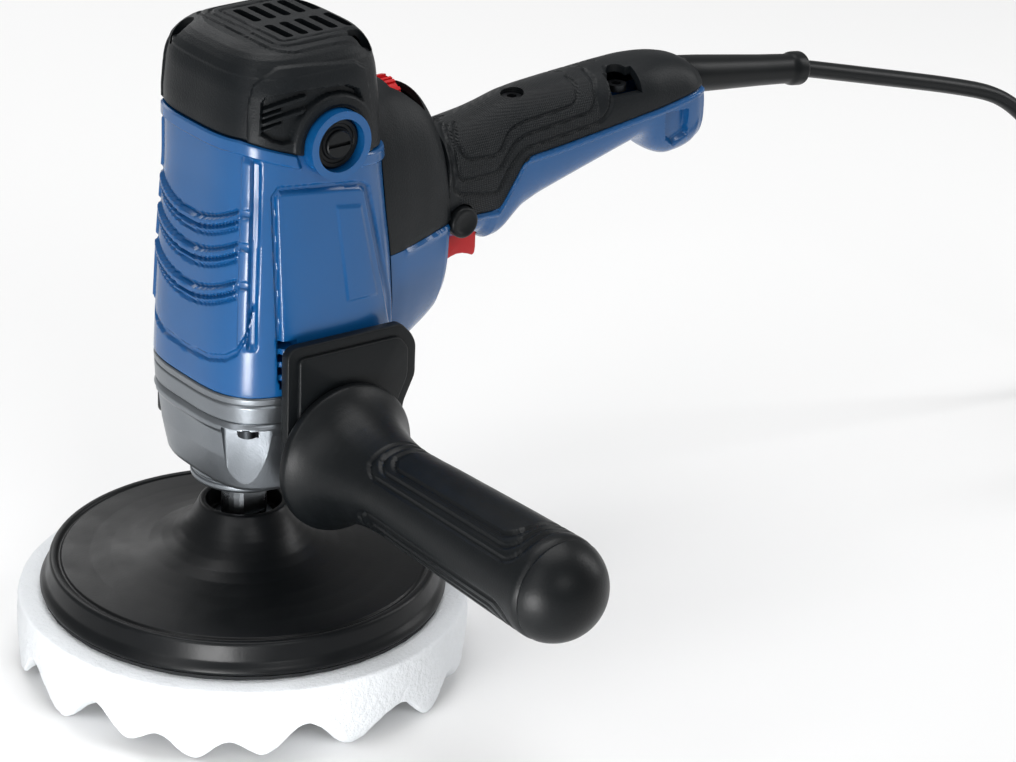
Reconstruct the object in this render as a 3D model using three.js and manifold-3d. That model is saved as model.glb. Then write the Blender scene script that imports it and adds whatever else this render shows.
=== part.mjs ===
// Rotary polisher, corded, with a vertical motor over a geared spindle, a rear grip and a side grip.
// Millimetres, +Z up. The origin is on the spindle axis, on the surface that the foam pad rests on.
// +X points to the rear grip and -Y to the side grip.
import * as THREE from 'three';
import { mergeVertices } from 'three/addons/utils/BufferGeometryUtils.js';
import Module from 'manifold-3d';

const wasm = await Module();
wasm.setup();

// ---------------------------------------------------------------- driving dimensions
const GAP = 0.3; // clearance between neighbouring pieces
const FOAM_RADIUS = 85;
const FOAM_TOP = 29.2;
const PAD_BOTTOM = 31.1;
const PAD_RADIUS = 77;
const PAD_RIM_TOP = 42.9;
const HUB_RADIUS = 16.6;
const HUB_TOP = 65.6;
const COLLAR_BOTTOM = 76.4;
const COLLAR_RADIUS = 20.2;
const GEARBOX_BOTTOM = 82.6;
const RING_BOTTOM = 112.4; // seam between the gear case and its upper ring
const HOUSING_BOTTOM = 123.1;
const COVER_TOP = 252;
const MOTOR_X = 14; // the motor axis stands behind the spindle axis
const BRUSH_Z = 216.6;
const SIDE_GRIP_X = 12;
const SIDE_GRIP_Z = 98.5;
const GUARD_INNER = 38.9;
const GUARD_OUTER = 44.9;
const CORD_RADIUS = 3.5;

// Gear train: armature pinion, large lay gear, small lay pinion, output gear.
const PINION = { teeth: 8, module: 0.8 };
const LAY_GEAR = { teeth: 32, module: 0.8 };
const LAY_PINION = { teeth: 11, module: 1 };
const OUTPUT_GEAR = { teeth: 33, module: 1 };
const centres = (a, b) => (a.module * (a.teeth + b.teeth)) / 2;
const LAY_FROM_MOTOR = centres(PINION, LAY_GEAR);
const LAY_FROM_SPINDLE = centres(LAY_PINION, OUTPUT_GEAR);
const LAY_X = (MOTOR_X ** 2 + LAY_FROM_SPINDLE ** 2 - LAY_FROM_MOTOR ** 2) / (2 * MOTOR_X);
const LAY_Y = Math.sqrt(LAY_FROM_SPINDLE ** 2 - LAY_X ** 2);

// ---------------------------------------------------------------- materials
const finish = (color, roughness, metalness) =>
  new THREE.MeshStandardMaterial({ color, roughness, metalness });
const BLUE = finish(0x2b64a8, 0.35, 0.1);
const BLACK = finish(0x1c2226, 0.6, 0);
const RUBBER = finish(0x16191b, 0.75, 0);
const SILVER = finish(0xa9afb3, 0.4, 0.9);
const STEEL = finish(0x9a9da0, 0.3, 1);
const RED = finish(0xc41e26, 0.45, 0);
const FOAM = finish(0xe6e8ea, 0.95, 0);
const COPPER = finish(0xb06a3a, 0.4, 0.9);
const CARBON = finish(0x3a3a3c, 0.8, 0.1);
const BOARD = finish(0x2e3d33, 0.7, 0);
const BRASS = finish(0xb59a52, 0.4, 0.9);

// ---------------------------------------------------------------- geometry tools
// Leaves one closed, outward-facing, indexed surface with positions only.
function clean(source) {
  const bare = source.clone();
  bare.deleteAttribute('normal');
  bare.deleteAttribute('uv');
  const merged = mergeVertices(bare, 1e-4);
  const at = merged.attributes.position;
  const kept = [];
  let volume = 0;
  const corner = [new THREE.Vector3(), new THREE.Vector3(), new THREE.Vector3()];
  for (let i = 0; i < merged.index.count; i += 3) {
    const tri = [0, 1, 2].map((k) => merged.index.getX(i + k));
    if (tri[0] === tri[1] || tri[1] === tri[2] || tri[0] === tri[2]) continue;
    tri.forEach((v, k) => corner[k].fromBufferAttribute(at, v));
    volume += corner[0].dot(corner[1].clone().cross(corner[2]));
    kept.push(...tri);
  }
  if (volume < 0) {
    for (let i = 0; i < kept.length; i += 3) [kept[i], kept[i + 1]] = [kept[i + 1], kept[i]];
  }
  merged.setIndex(kept);
  return merged;
}

function solid(geometry) {
  const closed = clean(geometry);
  return new wasm.Manifold(
    new wasm.Mesh({
      numProp: 3,
      vertProperties: new Float32Array(closed.attributes.position.array),
      triVerts: new Uint32Array(closed.index.array),
    }),
  );
}

function geometryOf(body) {
  const mesh = body.getMesh();
  const geometry = new THREE.BufferGeometry();
  geometry.setAttribute('position', new THREE.BufferAttribute(mesh.vertProperties, 3));
  geometry.setIndex(new THREE.BufferAttribute(mesh.triVerts, 1));
  return geometry;
}

const cut = (body, ...tools) => tools.reduce((left, tool) => left.subtract(tool), body);
const join = (body, ...others) => others.reduce((sum, other) => sum.add(other), body);

// The same stretch of Y on the right (-1) or the left (1) side.
const alongY = (side, a, b) => [Math.min(side * a, side * b), Math.max(side * a, side * b)];

// Box between two corners.
function block(x0, x1, y0, y1, z0, z1) {
  const box = new THREE.BoxGeometry(x1 - x0, y1 - y0, z1 - z0);
  return solid(box.translate((x0 + x1) / 2, (y0 + y1) / 2, (z0 + z1) / 2));
}

// Round bars along each axis.
function rodZ(radius, z0, z1, x = 0, y = 0, sides = 24, topRadius = radius) {
  const bar = new THREE.CylinderGeometry(topRadius, radius, z1 - z0, sides);
  return solid(bar.rotateX(Math.PI / 2).translate(x, y, (z0 + z1) / 2));
}
function rodY(radius, y0, y1, x, z, sides = 32) {
  const bar = new THREE.CylinderGeometry(radius, radius, y1 - y0, sides);
  return solid(bar.translate(x, (y0 + y1) / 2, z));
}
function rodX(radius, x0, x1, y, z, sides = 32) {
  const bar = new THREE.CylinderGeometry(radius, radius, x1 - x0, sides);
  return solid(bar.rotateZ(Math.PI / 2).translate((x0 + x1) / 2, y, z));
}

// Body turned about a vertical axis from [radius, height] points.
function turned(profile, sides = 40, x = 0, y = 0) {
  const points = profile.map(([radius, height]) => new THREE.Vector2(radius, height));
  return solid(new THREE.LatheGeometry(points, sides).rotateX(Math.PI / 2).translate(x, y, 0));
}
const washer = (inner, outer, z0, z1, x = 0, y = 0, sides = 36) =>
  turned([[inner, z0], [outer, z0], [outer, z1], [inner, z1], [inner, z0]], sides, x, y);

// Prism along Y from points in the XZ plane.
function prismY(points, y0, y1) {
  const shape = new THREE.Shape(points.map(([x, z]) => new THREE.Vector2(x, z)));
  const slab = new THREE.ExtrudeGeometry(shape, { depth: y1 - y0, bevelEnabled: false });
  return solid(slab.rotateX(Math.PI / 2).translate(0, y1, 0));
}

// Skin through a stack of equal point rings, closed at both ends.
function loft(rings) {
  const count = rings[0].length;
  const points = rings.flat();
  const index = [];
  for (let r = 0; r + 1 < rings.length; r += 1) {
    for (let i = 0; i < count; i += 1) {
      const a = r * count + i;
      const b = r * count + ((i + 1) % count);
      index.push(a, b, b + count, a, b + count, a + count);
    }
  }
  const cap = (first, flip) => {
    const middle = points.length;
    const sum = new THREE.Vector3();
    for (let i = 0; i < count; i += 1) sum.add(points[first + i]);
    points.push(sum.divideScalar(count));
    for (let i = 0; i < count; i += 1) {
      const a = first + i;
      const b = first + ((i + 1) % count);
      if (flip) index.push(middle, b, a);
      else index.push(middle, a, b);
    }
  };
  cap(0, true);
  cap((rings.length - 1) * count, false);
  const geometry = new THREE.BufferGeometry().setFromPoints(points);
  geometry.setIndex(index);
  return solid(geometry);
}

// Rounded-square ring: |u|^power + |v|^power = 1, as unit points.
function squircle(power, count) {
  const points = [];
  for (let i = 0; i < count; i += 1) {
    const angle = ((i + 0.5) / count) * 2 * Math.PI;
    const c = Math.cos(angle);
    const s = Math.sin(angle);
    const scale = (Math.abs(c) ** power + Math.abs(s) ** power) ** (-1 / power);
    points.push([c * scale, s * scale]);
  }
  return points;
}

// Level section of the tool body from its front, its back and its half width.
function level(z, front, back, half, power = 3.4, count = 32) {
  const middle = (front + back) / 2;
  const reach = (back - front) / 2;
  return squircle(power, count).map(([u, v]) => new THREE.Vector3(middle + u * reach, v * half, z));
}

// Upright section of the rear handle at one distance along X.
function slice(x, low, high, half, count = 24, power = 2.5) {
  const middle = (low + high) / 2;
  const reach = (high - low) / 2;
  return squircle(power, count).map(([u, v]) => new THREE.Vector3(x, u * half, middle + v * reach));
}

// ---------------------------------------------------------------- outer shapes that neighbours share
// Body sections: [height, front, back, half width]
const BODY_LEVELS = [
  [GEARBOX_BOTTOM, -20.6, 40, 30.6],
  [84.6, -22.4, 42, 32.2],
  [97, -25, 47, 34.2],
  [RING_BOTTOM, -26.7, 50.6, 36.4],
  [HOUSING_BOTTOM, -27.1, 52, 37.1],
  [145, -26.2, 51.6, 36.7],
  [167, -25.2, 50.4, 35.8],
  [200, -22.8, 46.4, 34],
  [232, -22.4, 43.4, 34.2],
];
function bodyLoft(z0, z1, grow = 0) {
  const at = (z) => {
    const i = Math.max(0, Math.min(BODY_LEVELS.length - 2, BODY_LEVELS.findIndex((l) => l[0] > z) - 1));
    const [a, b] = [BODY_LEVELS[i], BODY_LEVELS[i + 1]];
    const t = (z - a[0]) / (b[0] - a[0]);
    const [front, back, half] = [1, 2, 3].map((k) => a[k] + (b[k] - a[k]) * t);
    return level(z, front - grow, back + grow, half + grow);
  };
  const heights = BODY_LEVELS.map((l) => l[0]).filter((z) => z > z0 && z < z1);
  return loft([z0, ...heights, z1].map(at));
}

// Cover above the motor: its shoulders round over to a flat top.
const COVER_LEVELS = [
  [200, -22.8, 46.4, 34],
  [226, -22.7, 44, 34.6],
  [239, -21.3, 42.4, 34],
  [246.6, -18.8, 40.4, 32.2],
  [250.4, -15.4, 37.6, 28.4],
  [COVER_TOP, -10.4, 33.6, 22.6],
];
const coverLoft = (shrink, top, count) =>
  loft(
    COVER_LEVELS.filter((l) => l[0] <= top).map(([z, front, back, half]) =>
      level(z, front + shrink, back - shrink, half - shrink, 3.4, count),
    ),
  );
// The seam between the housing and the cover falls from the front to the back.
const SEAM = [[-60, 221], [-19, 221], [5, 212.5], [34, 208.5], [60, 206], [90, 203]];
const belowSeam = (drop) => prismY([[-60, 60], ...SEAM.map(([x, z]) => [x, z - drop]), [90, 60]], -60, 60);
const aboveSeam = prismY([[-60, 290], ...SEAM, [90, 290]], -60, 60);

// Rear handle sections: [distance, bottom, top, half width]
const HANDLE_SLICES = [
  [38, 118, 223, 29],
  [46, 116, 223, 28],
  [54, 113, 223, 26.5],
  [62, 115, 221.5, 24.5],
  [68, 118.8, 219, 23],
  [73, 121.5, 214.6, 21.5],
  [77, 124.5, 206.5, 20],
  [79, 128, 200.5, 19],
  [79.6, 153.6, 200.2, 18.6],
  [86, 153.4, 198.2, 18],
  [101.9, 152.6, 200.4, 17.4],
  [103, 149, 200.8, 17],
  [110, 149.6, 202.4, 16.5],
  [119, 158, 204.4, 16.5],
  [128, 161.8, 205.4, 16.5],
  [142, 165.8, 206.2, 16.5],
  [166, 172.6, 207.2, 16.5],
  [177, 175.6, 207.4, 16.5],
  [181, 174.2, 207.4, 16.5],
  [187, 168, 207.2, 16.3],
  [193, 165.2, 206.4, 16],
  [200, 165.8, 204.6, 15.5],
  [205, 167, 202.4, 14.5],
  [208, 169.2, 199.6, 12.5],
];
const handleLoft = (inset, from, to, count) =>
  loft(
    HANDLE_SLICES.filter(([x]) => x >= from && x <= to).map(([x, low, high, half]) =>
      slice(x, low + inset, high - inset, half - inset, count),
    ),
  );
// The parting line between the upper and the lower handle shell.
const PARTING = [
  [30, 163.2], [52, 163.6], [75.5, 165.9], [94.7, 165], [105, 164.3], [112, 175],
  [117.3, 183.2], [133, 184.4], [153, 186.5], [178, 189.3], [199, 192], [230, 196],
];
const underParting = (drop) =>
  prismY([[30, 90], ...PARTING.map(([x, z]) => [x, z - drop]), [230, 90]], -45, 45);
const overParting = prismY([[30, 260], ...PARTING, [230, 260]], -45, 45);

const LOCK_X = 85.4;
const LOCK_Z = 164.8;
const LOCK_RADIUS = 6.4;
const DIAL_Z = 210;
const DIAL_RADIUS = 12;
const DIAL_FRONT = 58;
const DIAL_BACK = 63;
const DIAL_SLOT_BACK = 70; // the slot runs on behind the wheel for a fingertip
const HANDLE_SCREWS = [
  { name: 'handle_screw_front', x: 120, y: -2, top: 200 },
  { name: 'handle_screw_rear', x: 166.5, y: -8, top: 198 },
];
const COVER_SCREWS = [
  { name: 'cover_screw_front_left', x: -13.5, y: 21 },
  { name: 'cover_screw_rear_right', x: 32, y: -24 },
];
const CORNER_SCREWS = [
  { name: 'gearbox_screw_front_right', x: -17, y: -27.2 },
  { name: 'gearbox_screw_front_left', x: -17, y: 27.2 },
  { name: 'gearbox_screw_rear_right', x: 41, y: -27.2 },
  { name: 'gearbox_screw_rear_left', x: 41, y: 27.2 },
];

// ---------------------------------------------------------------- pad and spindle
const foamPad = () => turned([[0, 0], [82.5, 0], [84.4, 2], [FOAM_RADIUS, 6], [FOAM_RADIUS, FOAM_TOP], [0, FOAM_TOP]]);

const hookDisc = () => turned([[0, FOAM_TOP + GAP], [76, FOAM_TOP + GAP], [76, 30.8], [0, 30.8]]);

// Moulded pad: rim with a groove, a hollow cone and a hub that holds the threaded insert.
function backingPad() {
  return turned([
    [11.2, PAD_BOTTOM], [76, PAD_BOTTOM], [PAD_RADIUS, 32.2], [74.4, 36], [73.2, 42],
    [72.4, PAD_RIM_TOP], [70.6, PAD_RIM_TOP], [70, 42.1], [69.2, 42.1], [68.6, PAD_RIM_TOP],
    [50, 44.5], [36, 47.5], [27, 52], [21.5, 57], [18.4, 62],
    [HUB_RADIUS, HUB_TOP], [14.4, HUB_TOP], [14, 58], [11.2, 58], [11.2, PAD_BOTTOM],
  ], 40);
}

const padInsert = () =>
  turned([[7.2, 31.4], [10.9, 31.4], [10.9, 59.6], [7.2, 59.6], [7.2, 31.4]], 24);

// Stepped spindle: thread, wrench flats, bearing seat, gear seat and a thin upper journal.
function spindle() {
  const bar = turned([
    [0, 37], [6.2, 37], [6.9, 37.8], [6.9, 60.2], [8.6, 60.2], [8.6, 74], [7.5, 74], [7.5, 93.6],
    [7, 93.6], [7, 102.2], [3, 102.2], [3, 116.4], [0, 116.4],
  ], 24);
  const flats = [-1, 1].map((side) => block(-12, 12, Math.min(side * 7, side * 12), Math.max(side * 7, side * 12), 62.5, 72.5));
  return cut(bar, ...flats);
}

const lowerBearing = () => washer(7.8, 15, GEARBOX_BOTTOM + GAP, 89.6, 0, 0, 24);

const bearingCollar = () =>
  turned([
    [9.2, COLLAR_BOTTOM], [18.6, COLLAR_BOTTOM], [COLLAR_RADIUS, 77.8], [COLLAR_RADIUS, 82.3],
    [9.2, 82.3], [9.2, COLLAR_BOTTOM],
  ], 32);

// ---------------------------------------------------------------- gears
// Straight-sided teeth with backlash; one tooth points along the phase angle.
function gear(spec, bore, z0, z1, x, y, phase) {
  const pitchRadius = (spec.teeth * spec.module) / 2;
  const root = pitchRadius - 1.15 * spec.module;
  const tip = pitchRadius + 0.9 * spec.module;
  const step = (2 * Math.PI) / spec.teeth;
  const shape = new THREE.Shape();
  const put = (radius, angle, first) => {
    const px = radius * Math.cos(angle);
    const py = radius * Math.sin(angle);
    if (first) shape.moveTo(px, py);
    else shape.lineTo(px, py);
  };
  for (let i = 0; i < spec.teeth; i += 1) {
    const middle = phase + i * step;
    put(root, middle - 0.29 * step, i === 0);
    put(tip, middle - 0.11 * step);
    put(tip, middle + 0.11 * step);
    put(root, middle + 0.29 * step);
  }
  if (bore > 0) {
    const hole = new THREE.Path();
    hole.absarc(0, 0, bore, 0, 2 * Math.PI, true);
    shape.holes.push(hole);
  }
  const wheel = new THREE.ExtrudeGeometry(shape, { depth: z1 - z0, bevelEnabled: false, curveSegments: 10 });
  return solid(wheel.translate(x, y, z0));
}
const SPINDLE_TO_LAY = Math.atan2(LAY_Y, LAY_X);
const MOTOR_TO_LAY = Math.atan2(LAY_Y, LAY_X - MOTOR_X);

const outputGear = () => gear(OUTPUT_GEAR, 7.3, 94.4, 101.4, 0, 0, SPINDLE_TO_LAY);
const layGear = () => gear(LAY_GEAR, 4.3, 104, 110, LAY_X, LAY_Y, MOTOR_TO_LAY + Math.PI);
function layShaft() {
  const phase = SPINDLE_TO_LAY + Math.PI + Math.PI / LAY_PINION.teeth;
  const teeth = gear(LAY_PINION, 0, 93.8, 103, LAY_X, LAY_Y, phase);
  const journal = rodZ(3.2, 88.6, 116, LAY_X, LAY_Y, 20);
  return join(teeth, journal, rodZ(4, 102.8, 111.6, LAY_X, LAY_Y, 24));
}

// ---------------------------------------------------------------- gear case
function gearboxHousing() {
  const outer = join(
    bodyLoft(GEARBOX_BOTTOM, RING_BOTTOM - GAP),
    rodY(13, -38.6, 38.6, SIDE_GRIP_X, SIDE_GRIP_Z, 28),
  );
  const chamber = loft([
    level(93, -18.5, 35, 27, 2.6, 28),
    level(103, -20, 40, 30.6, 2.6, 28),
    level(RING_BOTTOM + 4, -21, 44, 32.4, 2.6, 28),
  ]);
  const sockets = [-1, 1].map((side) => rodY(4.3, ...alongY(side, 26, 45), SIDE_GRIP_X, SIDE_GRIP_Z, 20));
  return cut(
    outer,
    chamber,
    rodZ(15.3, 60, 89.9, 0, 0, 28),
    rodZ(8, 60, 100, 0, 0, 24),
    rodZ(3.5, 88.3, 96, LAY_X, LAY_Y, 20),
    ...sockets,
    ...CORNER_SCREWS.map(cornerPocket),
    ...CORNER_SCREWS.map(({ x, y }) => rodZ(3.9, 100, 110.2, x, y, 16)),
    ...CORNER_SCREWS.map(({ x, y }) => rodZ(2.3, 100, 130, x, y, 12)),
  );
}

// Recess down one corner of the gear case, narrower below, that lets a driver reach its screw.
function cornerPocket({ x, y }) {
  const [topHalf, bottomHalf] = [9.6, 7.6];
  const [top, bottom] = [109.8, 80];
  const ring = (z, half) => [[-0.6, -half], [20, -half], [20, half], [-0.6, half]]
    .map(([out, across]) => new THREE.Vector3(out, across, z));
  const turn = Math.atan2(y, x - MOTOR_X - 1) + Math.sign(x * y) * 0.02;
  return solid(geometryOf(loft([ring(bottom, bottomHalf), ring(top, topHalf)]))
    .rotateZ(turn).translate(x, y, 0));
}

// Upper ring with the plate that holds the upper bearings.
function gearboxRing() {
  const outer = bodyLoft(RING_BOTTOM, HOUSING_BOTTOM - GAP);
  const hollow = rodZ(33.6, 118, 130, MOTOR_X, 0, 32);
  const boss = rodZ(12.6, 117.8, 127.4, MOTOR_X, 0, 28);
  const body = join(cut(outer, hollow), boss);
  const bores = [
    rodZ(3.3, 105, 116.8, 0, 0, 20),
    rodZ(4.6, 105, 132, MOTOR_X, 0, 24),
    rodZ(9.8, 119.2, 132, MOTOR_X, 0, 24),
    rodZ(3.5, 105, 116.4, LAY_X, LAY_Y, 20),
    ...CORNER_SCREWS.map(({ x, y }) => rodZ(2.3, 100, 140, x, y, 12)),
  ];
  return cut(body, ...bores);
}

const gearboxScrew = (x, y) => join(rodZ(3.5, 106.6, 109.9, x, y, 16), rodZ(2, 109.8, 133, x, y, 12));

// ---------------------------------------------------------------- motor
function armatureShaft() {
  const phase = MOTOR_TO_LAY + Math.PI / PINION.teeth;
  const teeth = gear(PINION, 0, 103, 111.8, MOTOR_X, 0, phase);
  return join(teeth, rodZ(4, 111.6, 237, MOTOR_X, 0, 24));
}

function armatureCore() {
  const slots = [];
  for (let i = 0; i < 12; i += 1) {
    const angle = (i / 12) * 2 * Math.PI;
    const slot = new THREE.BoxGeometry(5, 2.6, 60).translate(18.5, 0, 0);
    slots.push(solid(slot.rotateZ(angle).translate(MOTOR_X, 0, 174)));
  }
  return cut(washer(4.3, 19.6, 152, 196, MOTOR_X, 0, 36), ...slots);
}

const windingHead = (z0, z1) =>
  turned([[4.6, z0], [15, z0], [17, (z0 + z1) / 2], [14.5, z1], [4.6, z1], [4.6, z0]], 24, MOTOR_X, 0);

function commutator() {
  const grooves = [];
  for (let i = 0; i < 12; i += 1) {
    const angle = (i / 12) * 2 * Math.PI;
    const groove = new THREE.BoxGeometry(2, 0.8, 14).translate(11, 0, 0);
    grooves.push(solid(groove.rotateZ(angle).translate(MOTOR_X, 0, BRUSH_Z)));
  }
  return cut(washer(4.3, 11, BRUSH_Z - 7.5, BRUSH_Z + 7.5, MOTOR_X, 0, 24), ...grooves);
}

function coolingFan() {
  const blades = [];
  for (let i = 0; i < 10; i += 1) {
    const blade = new THREE.BoxGeometry(19, 1.4, 7.4).translate(20, 0, 0);
    blades.push(solid(blade.rotateZ((i / 10) * 2 * Math.PI).translate(MOTOR_X, 0, 139.6)));
  }
  return cut(
    join(washer(7, 30, 134, 136.2, MOTOR_X, 0, 32), rodZ(8.6, 134, 146, MOTOR_X, 0, 20), ...blades),
    rodZ(4.3, 120, 150, MOTOR_X, 0, 16),
  );
}

const armatureLowerBearing = () => washer(4.3, 9.5, 119.5, 126.5, MOTOR_X, 0, 24);
const armatureUpperBearing = () => washer(4.3, 9.5, 229, 236, MOTOR_X, 0, 24);

// Laminated ring with two pole shoes that face the armature along X.
function statorCore() {
  const ring = washer(26, 31, 152, 196, MOTOR_X, 0, 36);
  const shoes = [-1, 1].map((s) => {
    const near = s * 20.6;
    const far = s * 27.4;
    return block(MOTOR_X + Math.min(near, far), MOTOR_X + Math.max(near, far), -13, 13, 152, 196);
  });
  return cut(join(ring, ...shoes), rodZ(20.4, 150, 200, MOTOR_X, 0, 36));
}

// Field coil: a bent frame wound round one pole shoe, close to the armature.
function fieldCoil(side) {
  const sector = side > 0 ? block(MOTOR_X + 10, MOTOR_X + 40, -40, 40, 140, 210)
    : block(MOTOR_X - 40, MOTOR_X - 10, -40, 40, 140, 210);
  return cut(
    washer(20.8, 25.6, 146.6, 201.4, MOTOR_X, 0, 36).intersect(sector),
    block(MOTOR_X - 40, MOTOR_X + 40, -13.4, 13.4, 151.6, 196.4),
  );
}

function carbonBrush(side) {
  const [y0, y1] = alongY(side, 11.4, 25);
  return block(MOTOR_X - 3, MOTOR_X + 3, y0, y1, BRUSH_Z - 4, BRUSH_Z + 4);
}
function brushHolder(side) {
  const [y0, y1] = alongY(side, 13.4, 32.8);
  const [c0, c1] = alongY(side, 10, 40);
  return cut(
    block(MOTOR_X - 4.6, MOTOR_X + 4.6, y0, y1, BRUSH_Z - 5.6, BRUSH_Z + 5.6),
    block(MOTOR_X - 3.3, MOTOR_X + 3.3, c0, c1, BRUSH_Z - 4.3, BRUSH_Z + 4.3),
  );
}
// Screw-in cap with a stepped face and a driver slot.
function brushCap(side) {
  const [y0, y1] = alongY(side, 33.4, 36.6);
  const [h0, h1] = alongY(side, 36.5, 38.2);
  const [s0, s1] = alongY(side, 37, 45);
  return cut(
    join(rodY(9.5, y0, y1, MOTOR_X, BRUSH_Z, 28), rodY(5.2, h0, h1, MOTOR_X, BRUSH_Z, 16)),
    block(MOTOR_X - 4.6, MOTOR_X + 4.6, s0, s1, BRUSH_Z - 0.7, BRUSH_Z + 0.7),
  );
}

// ---------------------------------------------------------------- housing and cover
const RING_FACE = 39.7; // the brush rings stand proud of the housing
function motorHousing() {
  const shell = bodyLoft(HOUSING_BOTTOM, 231).intersect(belowSeam(GAP));
  const rings = [-1, 1].map((side) => rodY(12.8, ...alongY(side, 28, RING_FACE), MOTOR_X, BRUSH_Z, 32));
  const tools = [
    rodZ(34, 120, 148.4, MOTOR_X, 0, 32),
    rodZ(31.4, 148, 199, MOTOR_X, 0, 32),
    rodZ(29.6, 198, 250, MOTOR_X, 0, 32),
    ...[-1, 1].flatMap((side) => [
      rodY(9.9, ...alongY(side, 33.1, 50), MOTOR_X, BRUSH_Z, 24),
      block(MOTOR_X - 4.9, MOTOR_X + 4.9, ...alongY(side, 25, 40), BRUSH_Z - 5.9, BRUSH_Z + 5.9),
    ]),
    ...CORNER_SCREWS.map(({ x, y }) => rodZ(2.3, 120, 134, x, y, 12)),
    ...COVER_SCREWS.map(({ x, y }) => rodZ(2.1, 210, 240, x, y, 12)),
    ...[-1, 1].flatMap(sideVents),
    rodX(13, 44, 60, 0, 196, 20),
  ];
  return cut(join(shell, ...rings), ...tools);
}

// Fan outlets: a short ladder of air slots low on each side of the housing.
function sideVents(side) {
  const pitch = 5.2;
  const rungs = [0, 1, 2, 3];
  return rungs.map((i) => {
    const z = 126 + i * pitch;
    return block(-9, -2.4, ...alongY(side, 30, 42), z, z + 3.1);
  });
}

// Two rows of five long air slots in the flat top.
function ventSlots() {
  const slots = [];
  for (let i = 0; i < 5; i += 1) {
    const x = 7 + i * 6.4;
    slots.push(block(x - 1.8, x + 1.8, -17.5, -2.5, 240, 260));
    slots.push(block(x - 1.8, x + 1.8, 2.5, 17.5, 240, 260));
  }
  return slots;
}

function topCover() {
  const shape = coverLoft(0, 300);
  const outer = shape.intersect(aboveSeam);
  const posts = COVER_SCREWS.map(({ x, y }) => rodZ(4, 226, 247, x, y, 16).intersect(shape));
  const bearingCup = rodZ(12.4, 229, 247, MOTOR_X, 0, 28);
  const body = join(cut(outer, coverLoft(3, 248, 24)), bearingCup, ...posts);
  return cut(
    body,
    ...[-1, 1].map((side) => rodY(13.2, ...alongY(side, 20, 60), MOTOR_X, BRUSH_Z, 36)),
    ...ventSlots(),
    ...COVER_SCREWS.map(({ x, y }) => rodZ(4.4, 241.2, 270, x, y, 20)),
    ...COVER_SCREWS.map(({ x, y }) => rodZ(2.1, 200, 245, x, y, 12)),
    rodZ(9.8, 220, 236.4, MOTOR_X, 0, 24),
    rodZ(4.6, 220, 240, MOTOR_X, 0, 20),
  );
}

const coverScrew = (x, y) => join(rodZ(3.5, 241.5, 244.4, x, y, 16), rodZ(1.8, 216, 241.8, x, y, 12));

// ---------------------------------------------------------------- rear handle
function strainReliefAxis() {
  const start = new THREE.Vector3(204, 0, 194.8);
  const end = new THREE.Vector3(270.5, 0, 184.8);
  return { start, end, direction: end.clone().sub(start).normalize() };
}

function placedAlong(geometry, from, direction) {
  const turn = new THREE.Quaternion().setFromUnitVectors(new THREE.Vector3(0, 1, 0), direction);
  return geometry.applyQuaternion(turn).translate(from.x, from.y, from.z);
}

function handleTools() {
  const { start, direction } = strainReliefAxis();
  const mouth = placedAlong(new THREE.CylinderGeometry(8.2, 8.2, 30, 24), start, direction);
  return [
    bodyLoft(GEARBOX_BOTTOM, 231, GAP),
    loft(COVER_LEVELS.map(([z, front, back, half]) => level(z, front - GAP, back + GAP, half + GAP))),
    handleLoft(3, 54, 205, 16),
    rodY(LOCK_RADIUS + GAP, -30, -4, LOCK_X, LOCK_Z, 24),
    solid(mouth),
  ];
}

function handleUpperShell() {
  const outer = handleLoft(0, 30, 210);
  const posts = HANDLE_SCREWS.map(({ x, y, top }) => rodZ(5.4, 187, top + 1, x, y, 16));
  const [front] = HANDLE_SCREWS;
  const screwSleeve = rodZ(6.4, 190, 230, front.x, front.y, 20).intersect(outer);
  const shell = join(cut(outer, ...handleTools()), screwSleeve, ...posts.map((post) => post.intersect(outer)));
  const rearRecess = block(159.5, 173.5, -30, -7.4, 198, 230);
  return cut(
    shell.intersect(overParting),
    rodX(DIAL_RADIUS + 2, DIAL_FRONT - 0.8, DIAL_SLOT_BACK, 0, DIAL_Z, 36),
    rearRecess,
    ...HANDLE_SCREWS.map(({ x, y, top }) => rodZ(4.5, top, 230, x, y, 20)),
    ...HANDLE_SCREWS.map(({ x, y }) => rodZ(2.1, 150, 230, x, y, 12)),
  );
}

function handleLowerShell() {
  const outer = handleLoft(0, 30, 210);
  const posts = HANDLE_SCREWS.map(({ x, y }) => rodZ(4.6, 150, 200, x, y, 16).intersect(outer));
  const shell = join(cut(outer, ...handleTools()), ...posts);
  return cut(
    shell.intersect(underParting(GAP)),
    block(84.8, 101.8, -7.4, 7.4, 140, 175),
    ...HANDLE_SCREWS.map(({ x, y }) => rodZ(1.9, 164, 230, x, y, 12)),
  );
}

const handleScrew = (x, y, top) =>
  join(rodZ(3.9, top + GAP, top + 3, x, y, 16), rodZ(1.6, top - 26, top + 1, x, y, 12));

// Finger trigger with a guided stem that pushes the switch.
function trigger() {
  const finger = prismY(
    [[86, 144.3], [91, 145.6], [96, 145.4], [100, 143.6], [101.3, 145], [101.3, 158], [85.3, 158], [85.3, 145.2]],
    -6.9, 6.9,
  );
  return join(finger, block(90, 96, -4, 4, 157.8, 160.6));
}
const triggerSwitch = () => block(83, 106, -10, 10, 166.4, 188);
const lockButton = () =>
  join(rodY(LOCK_RADIUS, -20.8, -15, LOCK_X, LOCK_Z, 24), rodY(3, -15.1, -13.4, LOCK_X, LOCK_Z, 16));

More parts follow.
